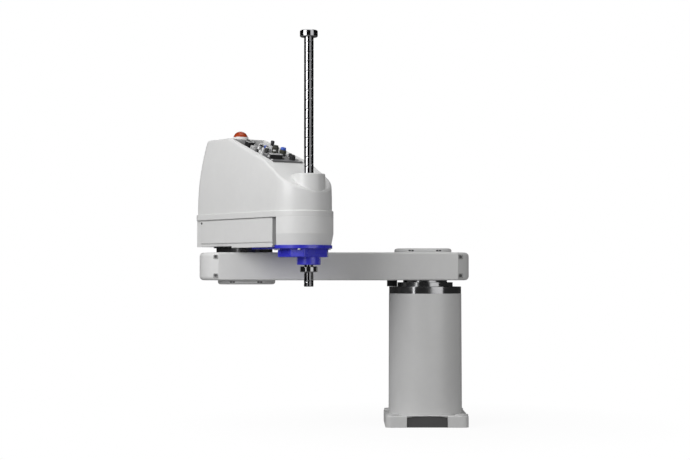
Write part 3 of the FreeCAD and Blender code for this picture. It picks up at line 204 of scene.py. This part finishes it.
WHITE = (0.72, 0.72, 0.715)
PAPER = (0.765, 0.765, 0.76)
BLUE = (0.02, 0.1, 0.6)
SHOULDER_AXIS = (0.0, 0.0)
ELBOW_AXIS = (-0.4, 0.0)
FOOT_RECESS = ((-0.0442, -0.0897, -0.001), (0.0442, -0.085, 0.0245), (0.1, 0.1, 0.1))
REAR_LARGE_RING = ((-0.3397, -0.0775, 0.55), (-0.3157, -0.0535, 0.65), (0.05, 0.05, 0.04))

casting_skin = dict(grain=700.0, relief=0.12, edge=0.0012)
moulded_skin = dict(grain=1500.0, relief=0.08, edge=0.0009)
small_moulding = dict(grain=1800.0, relief=0.05, edge=0.0003)
turned_skin = dict(grain=2600.0, relief=0.12, depth=0.00008, edge=0.0005, drift=0.08, rough_drift=0.07)

finishes = {
    "white_casting": dict(colour=WHITE, rough=0.42, **casting_skin),
    # Painted light: a brighter copy of the white casting paint, for the light falling on the forearm casting.
    "head_paint_painted_light": dict(colour=(0.79, 0.79, 0.785), rough=0.42, **casting_skin),
    "base_paint": dict(colour=WHITE, rough=0.34, patch=FOOT_RECESS, **casting_skin),
    "white_cover": dict(colour=PAPER, rough=0.36, grain=1300.0, edge=0.0014, coat=0.1),
    "cover_grey": dict(colour=(0.66, 0.66, 0.657), rough=0.42, **moulded_skin),
    "light_plastic": dict(colour=PAPER, rough=0.44, **moulded_skin),
    "machined_steel": dict(colour=(0.34, 0.34, 0.345), rough=0.19, metallic=1.0, lathe=SHOULDER_AXIS,
                           **turned_skin),
    "elbow_steel": dict(colour=(0.11, 0.11, 0.112), rough=0.24, metallic=0.9, lathe=ELBOW_AXIS,
                        **turned_skin),
    "black_steel": dict(colour=(0.03, 0.03, 0.032), rough=0.26, metallic=0.6, grain=1800.0, relief=0.08,
                        depth=0.0001, edge=0.0005, drift=0.1),
    "shaft_steel": dict(colour=(0.32, 0.32, 0.33), rough=0.05, metallic=1.0, grain=3000.0, relief=0.03,
                        depth=0.00005, edge=0.0003, drift=0.04, rough_drift=0.03),
    "collar_steel": dict(colour=(0.34, 0.34, 0.35), rough=0.13, metallic=1.0, grain=2400.0, depth=0.00006,
                         edge=0.0005, drift=0.05, rough_drift=0.03),
    "blue_resin": dict(colour=(0.04, 0.041, 0.6), rough=0.26, grain=1500.0, relief=0.08, edge=0.0008,
                       drift=0.05, specular=0.8),
    "panel_grey": dict(colour=(0.15, 0.15, 0.155), rough=0.45, grain=1200.0, relief=0.1),
    "black_plastic": dict(colour=(0.022, 0.022, 0.023), rough=0.42, grain=1800.0, relief=0.1, edge=0.0004,
                          drift=0.1),
    "fitting_body": dict(colour=(0.06, 0.06, 0.045), rough=0.4, grain=1800.0, relief=0.1, edge=0.0004,
                         drift=0.12),
    "blue_ring": dict(colour=BLUE, rough=0.3, **small_moulding),
    "large_ring": dict(colour=BLUE, rough=0.3, patch=REAR_LARGE_RING, **small_moulding),
    "pale_plastic": dict(colour=(0.75, 0.75, 0.75), rough=0.3, **small_moulding),
    # Dark grey for the end-cap screws, and painted shade on the strips in the step between the side panels
    # and the nose.
    "screw_grey_and_painted_shade": dict(colour=(0.2, 0.2, 0.2), rough=0.5, grain=1500.0, relief=0.1, edge=0.0004),
    # Painted shade: grey rims round the end-cap screws stand for the shade in their recesses.
    "recess_painted_shade_grey": dict(colour=(0.42, 0.42, 0.42), rough=0.45, grain=1500.0, relief=0.1, edge=0.0004),
    # Dark sockets and screws, and painted shade on the short dark notches of the joint covers.
    "socket_dark_and_painted_shade": dict(colour=(0.04, 0.04, 0.042), rough=0.4, metallic=0.5, grain=1500.0, relief=0.1,
                        depth=0.0001, edge=0.0002, drift=0.1),
    "orange_lens": dict(colour=(0.38, 0.05, 0.011), rough=0.2, grain=300.0, relief=0.04, edge=0.0004,
                        coat=0.15, specular=0.3),
    "motor_black": dict(colour=(0.03, 0.03, 0.032), rough=0.4, grain=1500.0, relief=0.1),
    "plated_steel": dict(colour=(0.8, 0.8, 0.8), rough=0.38, metallic=0.45, grain=2000.0, relief=0.06,
                         depth=0.0001, edge=0.0003),
    "bracket_metal": dict(colour=(0.6, 0.6, 0.61), rough=0.35, metallic=1.0, grain=2000.0, relief=0.08,
                          depth=0.0001, edge=0.0004),
    "belt_rubber": dict(colour=(0.02, 0.02, 0.02), rough=0.6, relief=0.2, edge=0.0004),
}
materials = {name: finish(name, **look) for name, look in finishes.items()}

# Nodes that look different from the rest of their record slot
own_finish = {
    "base_casting": "base_paint",
    # painted light: the brighter copy of the casting paint
    "forearm_casting": "head_paint_painted_light",
    "shoulder_joint_cover": "cover_grey",
    "elbow_joint_cover": "cover_grey",
    "elbow_reducer_housing": "elbow_steel",
    "elbow_output_flange": "black_steel",
    "top_stop_collar": "collar_steel",
    "bottom_stop_collar": "collar_steel",
    "small_air_fitting_rings": "pale_plastic",
    "large_air_fitting_rings": "large_ring",
    "user_connector_small": "plated_steel",
}

for row in frame["record"]["subparts"]:
    mesh = nodes[row["node"]].data
    mesh.materials.clear()
    mesh.materials.append(materials[own_finish.get(row["node"], row["material_slot"])])


# Mesh helpers. Forms are drawn in millimetres in a local frame, and the piece lies in the shared frame.

HERE = Matrix.Identity(4)
FOREARM = Matrix.Translation((-0.4, 0.0, 0.0)) @ Matrix.Rotation(math.radians(-54.0), 4, "Z")
SLOPE = math.atan2(45.0, 159.0)
PANEL = FOREARM @ Matrix.Translation((0.012, 0.0, 0.616)) @ Matrix.Rotation(SLOPE, 4, "Y")
DOWN = (0.0, 0.0, -1.0)
HEAD_POINTS = 24  # round a screw head or a nut: a multiple of six, so that hexagons match circles
CORNER_POINTS = 6


def at(x, y, z=0.0):
    return Matrix.Translation((x, y, z))


def facing(direction):
    """Turns a form's upright axis to another direction."""
    return Vector(direction).to_track_quat("Z", "Y").to_matrix().to_4x4()


def polar(reach, angle):
    """A point from its distance and its angle."""
    return reach * math.cos(angle), reach * math.sin(angle)


def ring_of(radius, count=32):
    step = CIRCLE / count
    return [polar(radius, step * n) for n in range(count)]


def head_ring(radius):
    return ring_of(radius, HEAD_POINTS)


def hexagon(radius):
    """A hexagon with as many points as the circle of a screw head."""
    sixth = math.pi / 3.0
    points = []
    for n in range(HEAD_POINTS):
        angle = CIRCLE * n / HEAD_POINTS
        from_flat = angle % sixth - sixth / 2.0
        points.append(polar(radius * math.cos(sixth / 2.0) / math.cos(from_flat), angle))
    return points


def rounded(length, width, corner):
    """A rectangle with round corners."""
    points = []
    for index, (sx, sy) in enumerate(((1, 1), (-1, 1), (-1, -1), (1, -1))):
        for n in range(CORNER_POINTS):
            x, y = polar(corner, math.pi / 2.0 * (index + n / (CORNER_POINTS - 1)))
            points.append((sx * (length / 2 - corner) + x, sy * (width / 2 - corner) + y))
    return points


class Form:
    """One piece's mesh, put together from prisms, tubes and turned forms."""

    def __init__(self):
        self.build = bmesh.new()

    def loop(self, points, height, place=HERE):
        return [self.build.verts.new(place @ Vector((x, y, height))) for x, y in points]

    def wall(self, first, second):
        count = len(first)
        for n in range(count):
            m = (n + 1) % count
            self.build.faces.new((first[n], first[m], second[m], second[n]))

    def solid(self, loops):
        """Walls from loop to loop, closed at both ends."""
        for first, second in zip(loops, loops[1:]):
            self.wall(first, second)
        self.build.faces.new(list(reversed(loops[0])))
        self.build.faces.new(loops[-1])

    def sleeve(self, loops):
        """Walls from loop to loop and back to the first one, round an open middle."""
        for first, second in zip(loops, loops[1:] + loops[:1]):
            self.wall(first, second)

    def prism(self, points, low, high, place, bevel=0.3):
        """A solid outline with a bevelled top edge."""
        inset = 1.0 - bevel / max(abs(x) for x, y in points)
        top = [(x * inset, y * inset) for x, y in points]
        self.solid([self.loop(points, low, place), self.loop(points, high - bevel, place),
                    self.loop(top, high, place)])

    def tube(self, outer, inner, low, high, place):
        """An outline with a hole through it."""
        self.sleeve([self.loop(outer, low, place), self.loop(outer, high, place),
                     self.loop(inner, high, place), self.loop(inner, low, place)])

    def turned(self, profile, place, around=40):
        """A profile of radius and height turned round the upright axis."""
        self.solid([self.loop(ring_of(radius, around), height, place) for radius, height in profile])

    def knurled(self, radius, depth, low, high, teeth, place):
        """A prism with grip teeth round it, four points to a tooth."""
        tooth = (radius - depth, radius, radius, radius - depth)
        count = teeth * len(tooth)
        points = [polar(tooth[n % len(tooth)], CIRCLE * n / count) for n in range(count)]
        self.prism(points, low, high, place, bevel=0.2)

    def screw(self, radius, tall, place):
        """A cylinder-head screw with its hexagon socket."""
        edge, socket_floor = radius * 0.12, tall * 0.35
        circle, rim, key = head_ring(radius), head_ring(radius - edge), hexagon(radius * 0.52)
        levels = ((circle, 0.0), (circle, tall - edge), (rim, tall), (key, tall), (key, socket_floor))
        self.solid([self.loop(points, height, place) for points, height in levels])


def piece(name, form, frame_matrix, material, body, slot_name, *replaced):
    """Puts a form into the scene as a visible piece that rides on a body."""
    bmesh.ops.transform(form.build, matrix=frame_matrix @ Matrix.Scale(0.001, 4), verts=form.build.verts)
    bmesh.ops.recalc_face_normals(form.build, faces=form.build.faces)
    mesh = bpy.data.meshes.new(name)
    form.build.to_mesh(mesh)
    form.build.free()
    mesh.polygons.foreach_set("use_smooth", [True] * len(mesh.polygons))
    mesh.set_sharp_from_angle(angle=math.radians(32.0))
    mesh.materials.append(materials[material])
    item = bpy.data.objects.new(name, mesh)
    bpy.context.scene.collection.objects.link(item)
    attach(item, body)
    if replaced:
        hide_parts(*replaced)


# The shaft: three straight spline grooves crossed by the ball screw's helix

SHAFT_RADIUS = 10.0
SHAFT_BORE = 7.0
SHAFT_CHAMFER = 0.8
SPLINES = 3
LEAD = 20.0
HELIX_START = 0.122
SHAFT_TURN = math.radians(-62.0)
SHAFT_POINTS, SHAFT_ROWS = 84, 560
SPLINE_HALF, SPLINE_DEPTH = 1.5, 0.8
HELIX_HALF, HELIX_DEPTH = 1.0, 0.4


def groove(distance, half_width, depth):
    """The depth of a rounded groove at a distance from its middle line."""
    share = abs(distance) / half_width
    return depth * math.sqrt(1.0 - share * share) if share < 1.0 else 0.0


def shaft_depth(angle, height):
    """How far the splines and the helix lie below the shaft's skin."""
    turn = angle / CIRCLE
    from_helix = ((height / LEAD - turn + HELIX_START + 0.5) % 1.0 - 0.5) * LEAD
    from_spline = ((turn * SPLINES + 0.5) % 1.0 - 0.5) * CIRCLE * SHAFT_RADIUS / SPLINES
    return max(groove(from_helix, HELIX_HALF, HELIX_DEPTH), groove(from_spline, SPLINE_HALF, SPLINE_DEPTH))


def spline_shaft():
    low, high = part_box("spline_shaft")
    axis = Matrix.Translation(((low[0] + high[0]) / 2, (low[1] + high[1]) / 2, 0.0))
    foot, top = low[2] * 1000.0, high[2] * 1000.0
    angles = [CIRCLE * n / SHAFT_POINTS for n in range(SHAFT_POINTS)]
    bore = ring_of(SHAFT_BORE, SHAFT_POINTS)
    form = Form()
    loops = [form.loop(bore, foot)]
    for row in range(SHAFT_ROWS + 1):
        height = foot + (top - foot) * row / SHAFT_ROWS
        skin = SHAFT_RADIUS - max(0.0, SHAFT_CHAMFER - min(height - foot, top - height))
        loops.append(form.loop([polar(skin - shaft_depth(angle, height), angle) for angle in angles], height))
    loops.append(form.loop(bore, top))
    form.sleeve(loops)
    piece("grooved_spline_shaft", form, axis @ Matrix.Rotation(SHAFT_TURN, 4, "Z"), "shaft_steel", "lift",
          "shaft_steel", "spline_shaft")


# Screws. The upper arm's places are in the shared frame, and the forearm's and the collars' in FOREARM.

HEAD_RADIUS, HEAD_TALL, GUARD_HEAD_TALL = 3.4, 2.4, 3.0
COVER_SCREWS = (((-35.0, 25.0), 383.6, HERE), ((-425.0, -365.0), 311.4, facing(DOWN)))
COVER_SCREW_SIDE = 47.0
CAP_SCREWS = (("elbow_end_cap", -458.5, 59.1), ("shoulder_end_cap", 75.0, 54.8))
CAP_SCREW_HEIGHTS = (327.0, 368.0)
FLANK_SCREW = (-75.0, 64.8, 443.0)
COLLAR_SCREWS = ((235.7, 7.0, 834.2), (235.7, 7.0, 340.7))
GUARD_SCREW_HEIGHT = 384.0
GUARD_SCREWS = ((190.0, -43.0), (190.0, 43.0), (221.0, -56.5), (221.0, 56.5), (270.0, -38.0), (270.0, 38.0))
# Places of the dark notches on the joint covers: painted shadow of the screws' counterbores
COVER_NOTCH_SHADES = (("shoulder_joint_cover", -33.0, 381.8), ("shoulder_joint_cover", 27.0, 381.8),
                 ("elbow_joint_cover", -423.0, 313.2), ("elbow_joint_cover", -363.0, 313.2))


def outward(x, y, z, side):
    """A place on one side of the arm or the other, with the form's top facing away from the arm."""
    return at(x, y * side, z) @ facing((0.0, side, 0.0))


def screws():
    covers = Form()
    for places, z, turn in COVER_SCREWS:
        for x in places:
            for side in SIDES:
                covers.screw(HEAD_RADIUS, HEAD_TALL, at(x, COVER_SCREW_SIDE * side, z) @ turn)
    piece("joint_cover_socket_screws", covers, HERE, "socket_dark_and_painted_shade", "upper_arm", "plated_steel",
          "joint_cover_screws")
    caps = Form()
    for _, x, y in CAP_SCREWS:
        for side in SIDES:
            for z in CAP_SCREW_HEIGHTS:
                caps.screw(HEAD_RADIUS, HEAD_TALL, outward(x, y, z, side))
    piece("end_cap_socket_screws", caps, HERE, "screw_grey_and_painted_shade", "upper_arm", "plated_steel", "end_cap_screws")
    guard = Form()
    for x, y in GUARD_SCREWS:
        guard.screw(HEAD_RADIUS, GUARD_HEAD_TALL, at(x, y, GUARD_SCREW_HEIGHT) @ facing(DOWN))
    piece("guard_socket_screws", guard, FOREARM, "plated_steel", "forearm", "plated_steel",
          "nose_guard_screws")
    flank = Form()
    for side in SIDES:
        flank.screw(radius=2.4, tall=1.2, place=outward(*FLANK_SCREW, side))
    piece("side_panel_screws", flank, FOREARM, "socket_dark_and_painted_shade", "forearm", "plated_steel")
    collars = Form()
    for place in COLLAR_SCREWS:
        for side in SIDES:
            collars.screw(radius=2.0, tall=2.4, place=outward(*place, side))
    piece("collar_clamp_screws", collars, FOREARM, "plated_steel", "lift", "plated_steel")


def painted_shade_rims(name, finish_name, outer, inner, places):
    """Thin rims of painted shade that follow the curved skin under them. Each place is a node, a side, x and
    z.
    """
    form = Form()
    sunk, proud, start = -0.4, 0.3, 200.0
    for node, side, x, z in places:
        mesh = nodes[node].data
        skin = BVHTree.FromPolygons([v.co for v in mesh.vertices], [tuple(p.vertices) for p in mesh.polygons])
        inward = Vector((0.0, -side, 0.0))
        loops = []
        for points, lift in ((outer, sunk), (outer, proud), (inner, proud), (inner, sunk)):
            loop = []
            for a, b in points:
                hit = skin.ray_cast(Vector((x + a, start * side, z + b)) * 0.001, inward)[0]
                loop.append(form.build.verts.new((x + a, hit.y * 1000.0 + lift * side, z + b)))
            loops.append(loop)
        form.sleeve(loops)
    piece(name, form, HERE, finish_name, "upper_arm", "black_plastic")


def screw_recess_shades():
    """Painted shade: grey rims round the end-cap screws for the shade in their recesses, and short dark
    notches at the joint covers' screws for the shadow in their counterbores.
    """
    recess_shade_places = [(node, side, x, z) for node, x, _ in CAP_SCREWS for side in SIDES for z in CAP_SCREW_HEIGHTS]
    painted_shade_rims("end_cap_recess_shade", "recess_painted_shade_grey", rounded(11.0, 10.0, 2.5), head_ring(4.6), recess_shade_places)
    notch_shade_places = [(node, side, x, z) for node, x, z in COVER_NOTCH_SHADES for side in SIDES]
    painted_shade_rims("joint_cover_notch_shade", "socket_dark_and_painted_shade", rounded(11.5, 3.0, 1.4), rounded(2.4, 1.6, 0.7), notch_shade_places)


# The user panel. Places are down the slope and across it, and heights are above the panel's face.

LARGE_FITTINGS = (82.0, 112.0)
LARGE_ROW, SMALL_ROW = 20.0, -2.0
CONNECTOR_ROW = -16.0
NETWORK_SOCKET = (34.0, CONNECTOR_ROW)
CONNECTORS = ((140.0, 39.0, 12), (60.0, 31.0, 8))  # place down the slope, width, contacts in a row
CONNECTOR_DEEP = 12.0
CONTACT_PITCH, CONTACT_ROW_OFFSET = 1.9, 1.3
SIDEWAYS = Matrix.Rotation(math.radians(90.0), 4, "Z")
PANEL_SCREWS = ((6.0, -35.0), (6.0, 35.0), (82.0, -35.0), (82.0, 36.0), (158.0, -35.0), (158.0, 36.0))

# Nuts: place and radius, and for the fittings' nuts the height
PLUG_NUTS = ((97.0, 31.0, 4.2), (60.0, 12.0, 4.4), (20.0, 24.0, 4.6))
FITTING_NUTS = ((82.0, LARGE_ROW, 9.0, 2.2), (112.0, LARGE_ROW, 9.0, 2.2), (82.0, SMALL_ROW, 6.4, 2.6),
                (112.0, SMALL_ROW, 6.4, 2.6), (126.0, 31.0, 6.4, 2.4), (62.0, 31.0, 5.6, 2.4),
                (40.0, 22.0, 5.2, 2.4))

# Plugs: place and height
DARK_PLUGS = ((97.0, -12.0, 10.0), (124.0, 16.0, 8.0), (48.0, 4.0, 12.0), (70.0, 6.0, 13.0),
              (122.0, -14.0, 9.0), (88.0, -30.0, 9.0), (30.0, -32.0, 7.0))
PALE_PLUGS = ((22.0, 4.0, 7.0), (97.0, -28.0, 9.0), (46.0, 34.0, 12.4), (74.0, -18.0, 11.0),
              (50.0, 20.0, 8.0), (110.0, -32.0, 8.0), (86.0, -14.0, 12.0), (34.0, 10.0, 10.0))

# Turned forms: place and profile
BLUE_TURNED = (
    (112.0, 20.0, ((6.1, 14.8), (6.1, 18.0), (5.2, 19.6), (2.6, 20.2), (2.6, 19.0))),
    (40.0, 22.0, ((3.4, 0.0), (3.4, 7.5), (2.6, 8.4), (1.3, 8.4))),
)
PALE_TURNED = (
    (97.0, 31.0, ((3.6, 0.0), (3.6, 3.6), (3.0, 4.4), (1.2, 4.6))),
    (60.0, 12.0, ((3.8, 0.0), (3.8, 4.2), (3.2, 5.0), (1.2, 5.2))),
    (20.0, 24.0, ((3.9, 3.9), (3.9, 8.0), (3.0, 9.2), (1.4, 9.4))),
)
DARK_TURNED = (
    (126.0, 31.0, ((4.2, 0.0), (4.2, 3.0), (3.4, 3.4), (3.4, 9.0), (2.4, 10.0))),
    (62.0, 31.0, ((3.6, 0.0), (3.6, 9.4), (2.8, 10.4))),
    (46.0, 34.0, ((2.7, 10.0), (4.2, 10.8), (4.2, 19.6), (3.4, 21.2), (1.4, 21.4))),
)


def panel_piece(name, form, material, slot_name):
    piece(name, form, PANEL, material, "forearm", slot_name)


def air_fittings():
    knurls = Form()
    for along in LARGE_FITTINGS:
        for low, high in ((0.2, 4.3), (8.2, 12.6)):
            knurls.knurled(7.35, 0.35, low, high, 26, at(along, LARGE_ROW))
        knurls.prism(hexagon(5.2), 0.0, 3.0, at(along, SMALL_ROW))
    panel_piece("fitting_knurls", knurls, "fitting_body", "fitting_body")
    caps = Form()
    for along, across, profile in BLUE_TURNED:
        caps.turned(profile, at(along, across))
    panel_piece("fitting_caps", caps, "blue_ring", "blue_ring")


def metalwork():
    """Connector shells with their jack screws, panel screws and flat nuts."""
    metal = Form()
    for along, wide, _ in CONNECTORS:
        shell = wide - 12.0
        metal.tube(rounded(shell + 3.0, CONNECTOR_DEEP - 1.0, 2.2), rounded(shell, CONNECTOR_DEEP - 4.0, 1.8),
                   8.8, 10.2, at(along, CONNECTOR_ROW) @ SIDEWAYS)
        for side in SIDES:
            jack = at(along, CONNECTOR_ROW + side * (wide / 2 - 2.6))
            metal.prism(hexagon(2.3), 1.8, 5.6, jack)
            metal.turned([(1.2, 5.6), (1.2, 7.4), (0.8, 7.8)], jack, 20)
    metal.tube(rounded(15.5, 15.5, 1.2), rounded(12.6, 12.6, 0.6), 13.6, 14.6, at(*NETWORK_SOCKET))
    for along, across in PANEL_SCREWS:
        metal.screw(2.6, 1.6, at(along, across))
    for along, across, radius in PLUG_NUTS:
        metal.tube(hexagon(radius + 1.4), head_ring(radius - 0.8), 0.0, 2.4, at(along, across))
    panel_piece("panel_metalwork", metal, "plated_steel", "plated_steel")


def pale_fittings():
    pale = Form()
    for along, across, profile in PALE_TURNED:
        pale.turned(profile, at(along, across))
    pale.prism(rounded(9.0, 5.0, 2.4), 0.0, 3.0, at(97.0, 8.0), bevel=0.5)
    pale.tube(ring_of(5.2), ring_of(3.1), 0.0, 3.2, at(128.0, 6.0))
    panel_piece("panel_pale_plugs", pale, "pale_plastic", "light_plastic")


def dark_fittings():
    """The switch and its two-pin neighbour, dark plugs, and the connectors' dark insides."""
    dark = Form()
    switch, two_pin = at(12.0, -8.0), at(8.0, 10.0)
    dark.prism(rounded(9.0, 9.0, 1.2), 0.0, 12.5, switch, bevel=0.8)
    dark.prism(rounded(8.0, 5.0, 1.0), 12.4, 14.6, switch, bevel=0.5)
    dark.prism(rounded(10.0, 8.0, 1.0), 0.0, 6.0, two_pin, bevel=0.5)
    for side in SIDES:
        dark.turned([(1.6, 5.9), (1.6, 9.4), (1.2, 9.8)], two_pin @ at(0.0, 2.4 * side), 24)
    dark.knurled(4.8, 0.3, 0.0, 4.0, 18, at(20.0, 24.0))
    for along, across, profile in DARK_TURNED:
        dark.turned(profile, at(along, across))
    for along, wide, _ in CONNECTORS:
        dark.prism(rounded(wide - 13.0, 7.0, 1.6), 2.0, 8.4, at(along, CONNECTOR_ROW) @ SIDEWAYS, bevel=0.5)
    dark.tube(rounded(14.4, 14.4, 1.0), rounded(11.0, 11.0, 0.6), 10.0, 14.0, at(*NETWORK_SOCKET))
    panel_piece("panel_dark_fittings", dark, "black_plastic", "black_plastic")


def plugs_and_nuts():
    nuts = Form()
    for along, across, radius, tall in FITTING_NUTS:
        nuts.tube(hexagon(radius), head_ring(radius - 2.0), 0.0, tall, at(along, across))
    for plugs, name, finish_name, slot_name in (
            (DARK_PLUGS, "panel_dark_plugs", "black_plastic", "black_plastic"),
            (PALE_PLUGS, "panel_pale_caps", "pale_plastic", "light_plastic")):
        caps = Form()
        for along, across, tall in plugs:
            place = at(along, across)
            nuts.prism(hexagon(4.2), 0.0, 2.4, place, bevel=0.4)
            caps.turned([(2.9, 2.2), (2.9, tall - 1.4), (2.3, tall - 0.4), (1.2, tall)], place, 24)
        panel_piece(name, caps, finish_name, slot_name)
    panel_piece("panel_nuts_and_studs", nuts, "plated_steel", "plated_steel")


def contacts():
    pins = Form()
    for along, _, count in CONNECTORS:
        for n in range(count):
            across = CONNECTOR_ROW + (n - (count - 1) / 2) * CONTACT_PITCH
            for side in SIDES:
                place = at(along + CONTACT_ROW_OFFSET * side, across)
                pins.turned([(0.55, 8.3), (0.55, 9.2), (0.35, 9.5)], place, 8)
    panel_piece("connector_contacts", pins, "plated_steel", "plated_steel")


# A dark grey strip in the step between the side panels and the nose, painted shade on the step's face

SHADE_STRIP_OUTLINE = ((208.9, 61.3), (214.0, 57.05), (214.9, 57.7), (215.0, 59.0), (209.6, 63.7), (208.9, 63.2))
SHADE_STRIP_FOOT, SHADE_STRIP_TOP = 392.0, 449.5


def step_shade_strips():
    strip = Form()
    for outline in ([(x, -y) for x, y in reversed(SHADE_STRIP_OUTLINE)], SHADE_STRIP_OUTLINE):
        strip.solid([strip.loop(outline, SHADE_STRIP_FOOT), strip.loop(outline, SHADE_STRIP_TOP)])
    piece("flank_step_painted_shade_strips", strip, FOREARM, "screw_grey_and_painted_shade", "forearm", "black_plastic")


spline_shaft()
screws()
screw_recess_shades()
air_fittings()
metalwork()
pale_fittings()
dark_fittings()
plugs_and_nuts()
contacts()
step_shade_strips()


# Camera, world, floor and lamps

# The floor's tone to the camera, and to bounced light and reflections
FLOOR_TO_CAMERA = (0.95, 0.95, 0.95)
FLOOR_TO_LIGHT = (0.36, 0.36, 0.36)

lamps = {
    "left_box": dict(place=(-1.15, -0.95, 1.05), target=(-0.35, -0.2, 0.55), size=(0.8, 0.95), power=13.0),
    "right_box": dict(place=(1.35, -1.85, 0.75), target=(0.0, 0.0, 0.3), size=(1.6, 1.6), power=11.2),
    "left_strip": dict(place=(-0.95, -1.2, 0.33), target=(0.0, 0.0, 0.33), size=(0.14, 0.4), power=0.5),
    "rear_fill": dict(place=(-0.3, 1.7, 2.1), target=(-0.2, 0.0, 0.3), size=(1.3, 1.0), power=5.5),
    "above": dict(place=(-0.2, -0.3, 2.4), target=(-0.25, 0.0, 0.3), size=(1.6, 1.2), power=11.2),
}


def camera():
    data = bpy.data.cameras.new("camera")
    data.sensor_width = 36.0
    data.lens = 82.17
    data.clip_start = 0.1
    data.clip_end = 60.0
    item = bpy.data.objects.new("camera", data)
    item.location = (-0.1773, -3.49, 0.335)
    item.rotation_euler = (math.radians(91.53), 0.0, 0.0)
    bpy.context.scene.collection.objects.link(item)
    bpy.context.scene.camera = item


def lamp(name, place, target, size, power):
    """A soft box of some width and height that faces its target."""
    data = bpy.data.lights.new(name, "AREA")
    data.shape = "RECTANGLE"
    data.size, data.size_y = size
    data.energy = power
    item = bpy.data.objects.new(name, data)
    item.location = place
    aim = Vector(target) - Vector(place)
    item.rotation_euler = aim.to_track_quat("-Z", "Y").to_euler()
    bpy.context.scene.collection.objects.link(item)


def world(ambient, studio):
    """White to the camera. Gloss and glass see a dim studio, so round metal keeps its dark edges."""
    item = bpy.data.worlds.new("studio")
    bpy.context.scene.world = item
    item.use_nodes = True
    tree = item.node_tree
    tree.nodes.clear()

    def math_node(operation, first, second):
        node = tree.nodes.new("ShaderNodeMath")
        node.operation = operation
        for index, value in enumerate((first, second)):
            if isinstance(value, bpy.types.NodeSocket):
                tree.links.new(value, node.inputs[index])
            else:
                node.inputs[index].default_value = value
        return node.outputs[0]

    path = tree.nodes.new("ShaderNodeLightPath")
    seen = path.outputs["Is Camera Ray"]
    mirrored = math_node("MAXIMUM", path.outputs["Is Glossy Ray"], path.outputs["Is Transmission Ray"])
    shown = math_node("MULTIPLY", mirrored, studio)
    unlit = math_node("MAXIMUM", mirrored, seen)
    lit = math_node("MULTIPLY", math_node("SUBTRACT", 1.0, unlit), ambient)
    level = math_node("ADD", math_node("ADD", shown, lit), seen)
    glow = tree.nodes.new("ShaderNodeBackground")
    glow.inputs["Color"].default_value = (1.0, 1.0, 1.0, 1.0)
    tree.links.new(level, glow.inputs["Strength"])
    out = tree.nodes.new("ShaderNodeOutputWorld")
    tree.links.new(glow.outputs[0], out.inputs[0])


def floor():
    """Pale floor. The camera sees it fade to the white backdrop, with a soft shadow near the object."""
    mesh = bpy.data.meshes.new("studio_floor")
    build = bmesh.new()
    bmesh.ops.create_grid(build, x_segments=8, y_segments=8, size=30.0)
    build.to_mesh(mesh)
    build.free()
    item = bpy.data.objects.new("studio_floor", mesh)
    bpy.context.scene.collection.objects.link(item)
    tree = Tree("pale_floor")
    seen = tree.nodes.new("ShaderNodeLightPath").outputs["Is Camera Ray"]
    tone = tree.ramp(seen, (0.0, FLOOR_TO_LIGHT), (1.0, FLOOR_TO_CAMERA))
    tree.link(tone, tree.shader.inputs["Base Color"])
    tree.shader.inputs["Roughness"].default_value = 0.9
    tree.shader.inputs["Specular IOR Level"].default_value = 0.0
    glow = tree.nodes.new("ShaderNodeEmission")
    glow.inputs["Color"].default_value = (1.0, 1.0, 1.0, 1.0)
    away = tree.spread(tree.vector("LENGTH", tree.place), low=0.93, high=1.0, start=0.1, end=0.6)
    mix = tree.nodes.new("ShaderNodeMixShader")
    tree.link(tree.math("MULTIPLY", away, seen), mix.inputs[0])
    tree.link(tree.shader.outputs[0], mix.inputs[1])
    tree.link(glow.outputs[0], mix.inputs[2])
    tree.link(mix.outputs[0], tree.out.inputs[0])
    mesh.materials.append(tree.material)


camera()
world(ambient=0.17, studio=0.01)
floor()
for name, settings in lamps.items():
    lamp(name, **settings)
bpy.context.scene.view_settings.view_transform = "Standard"
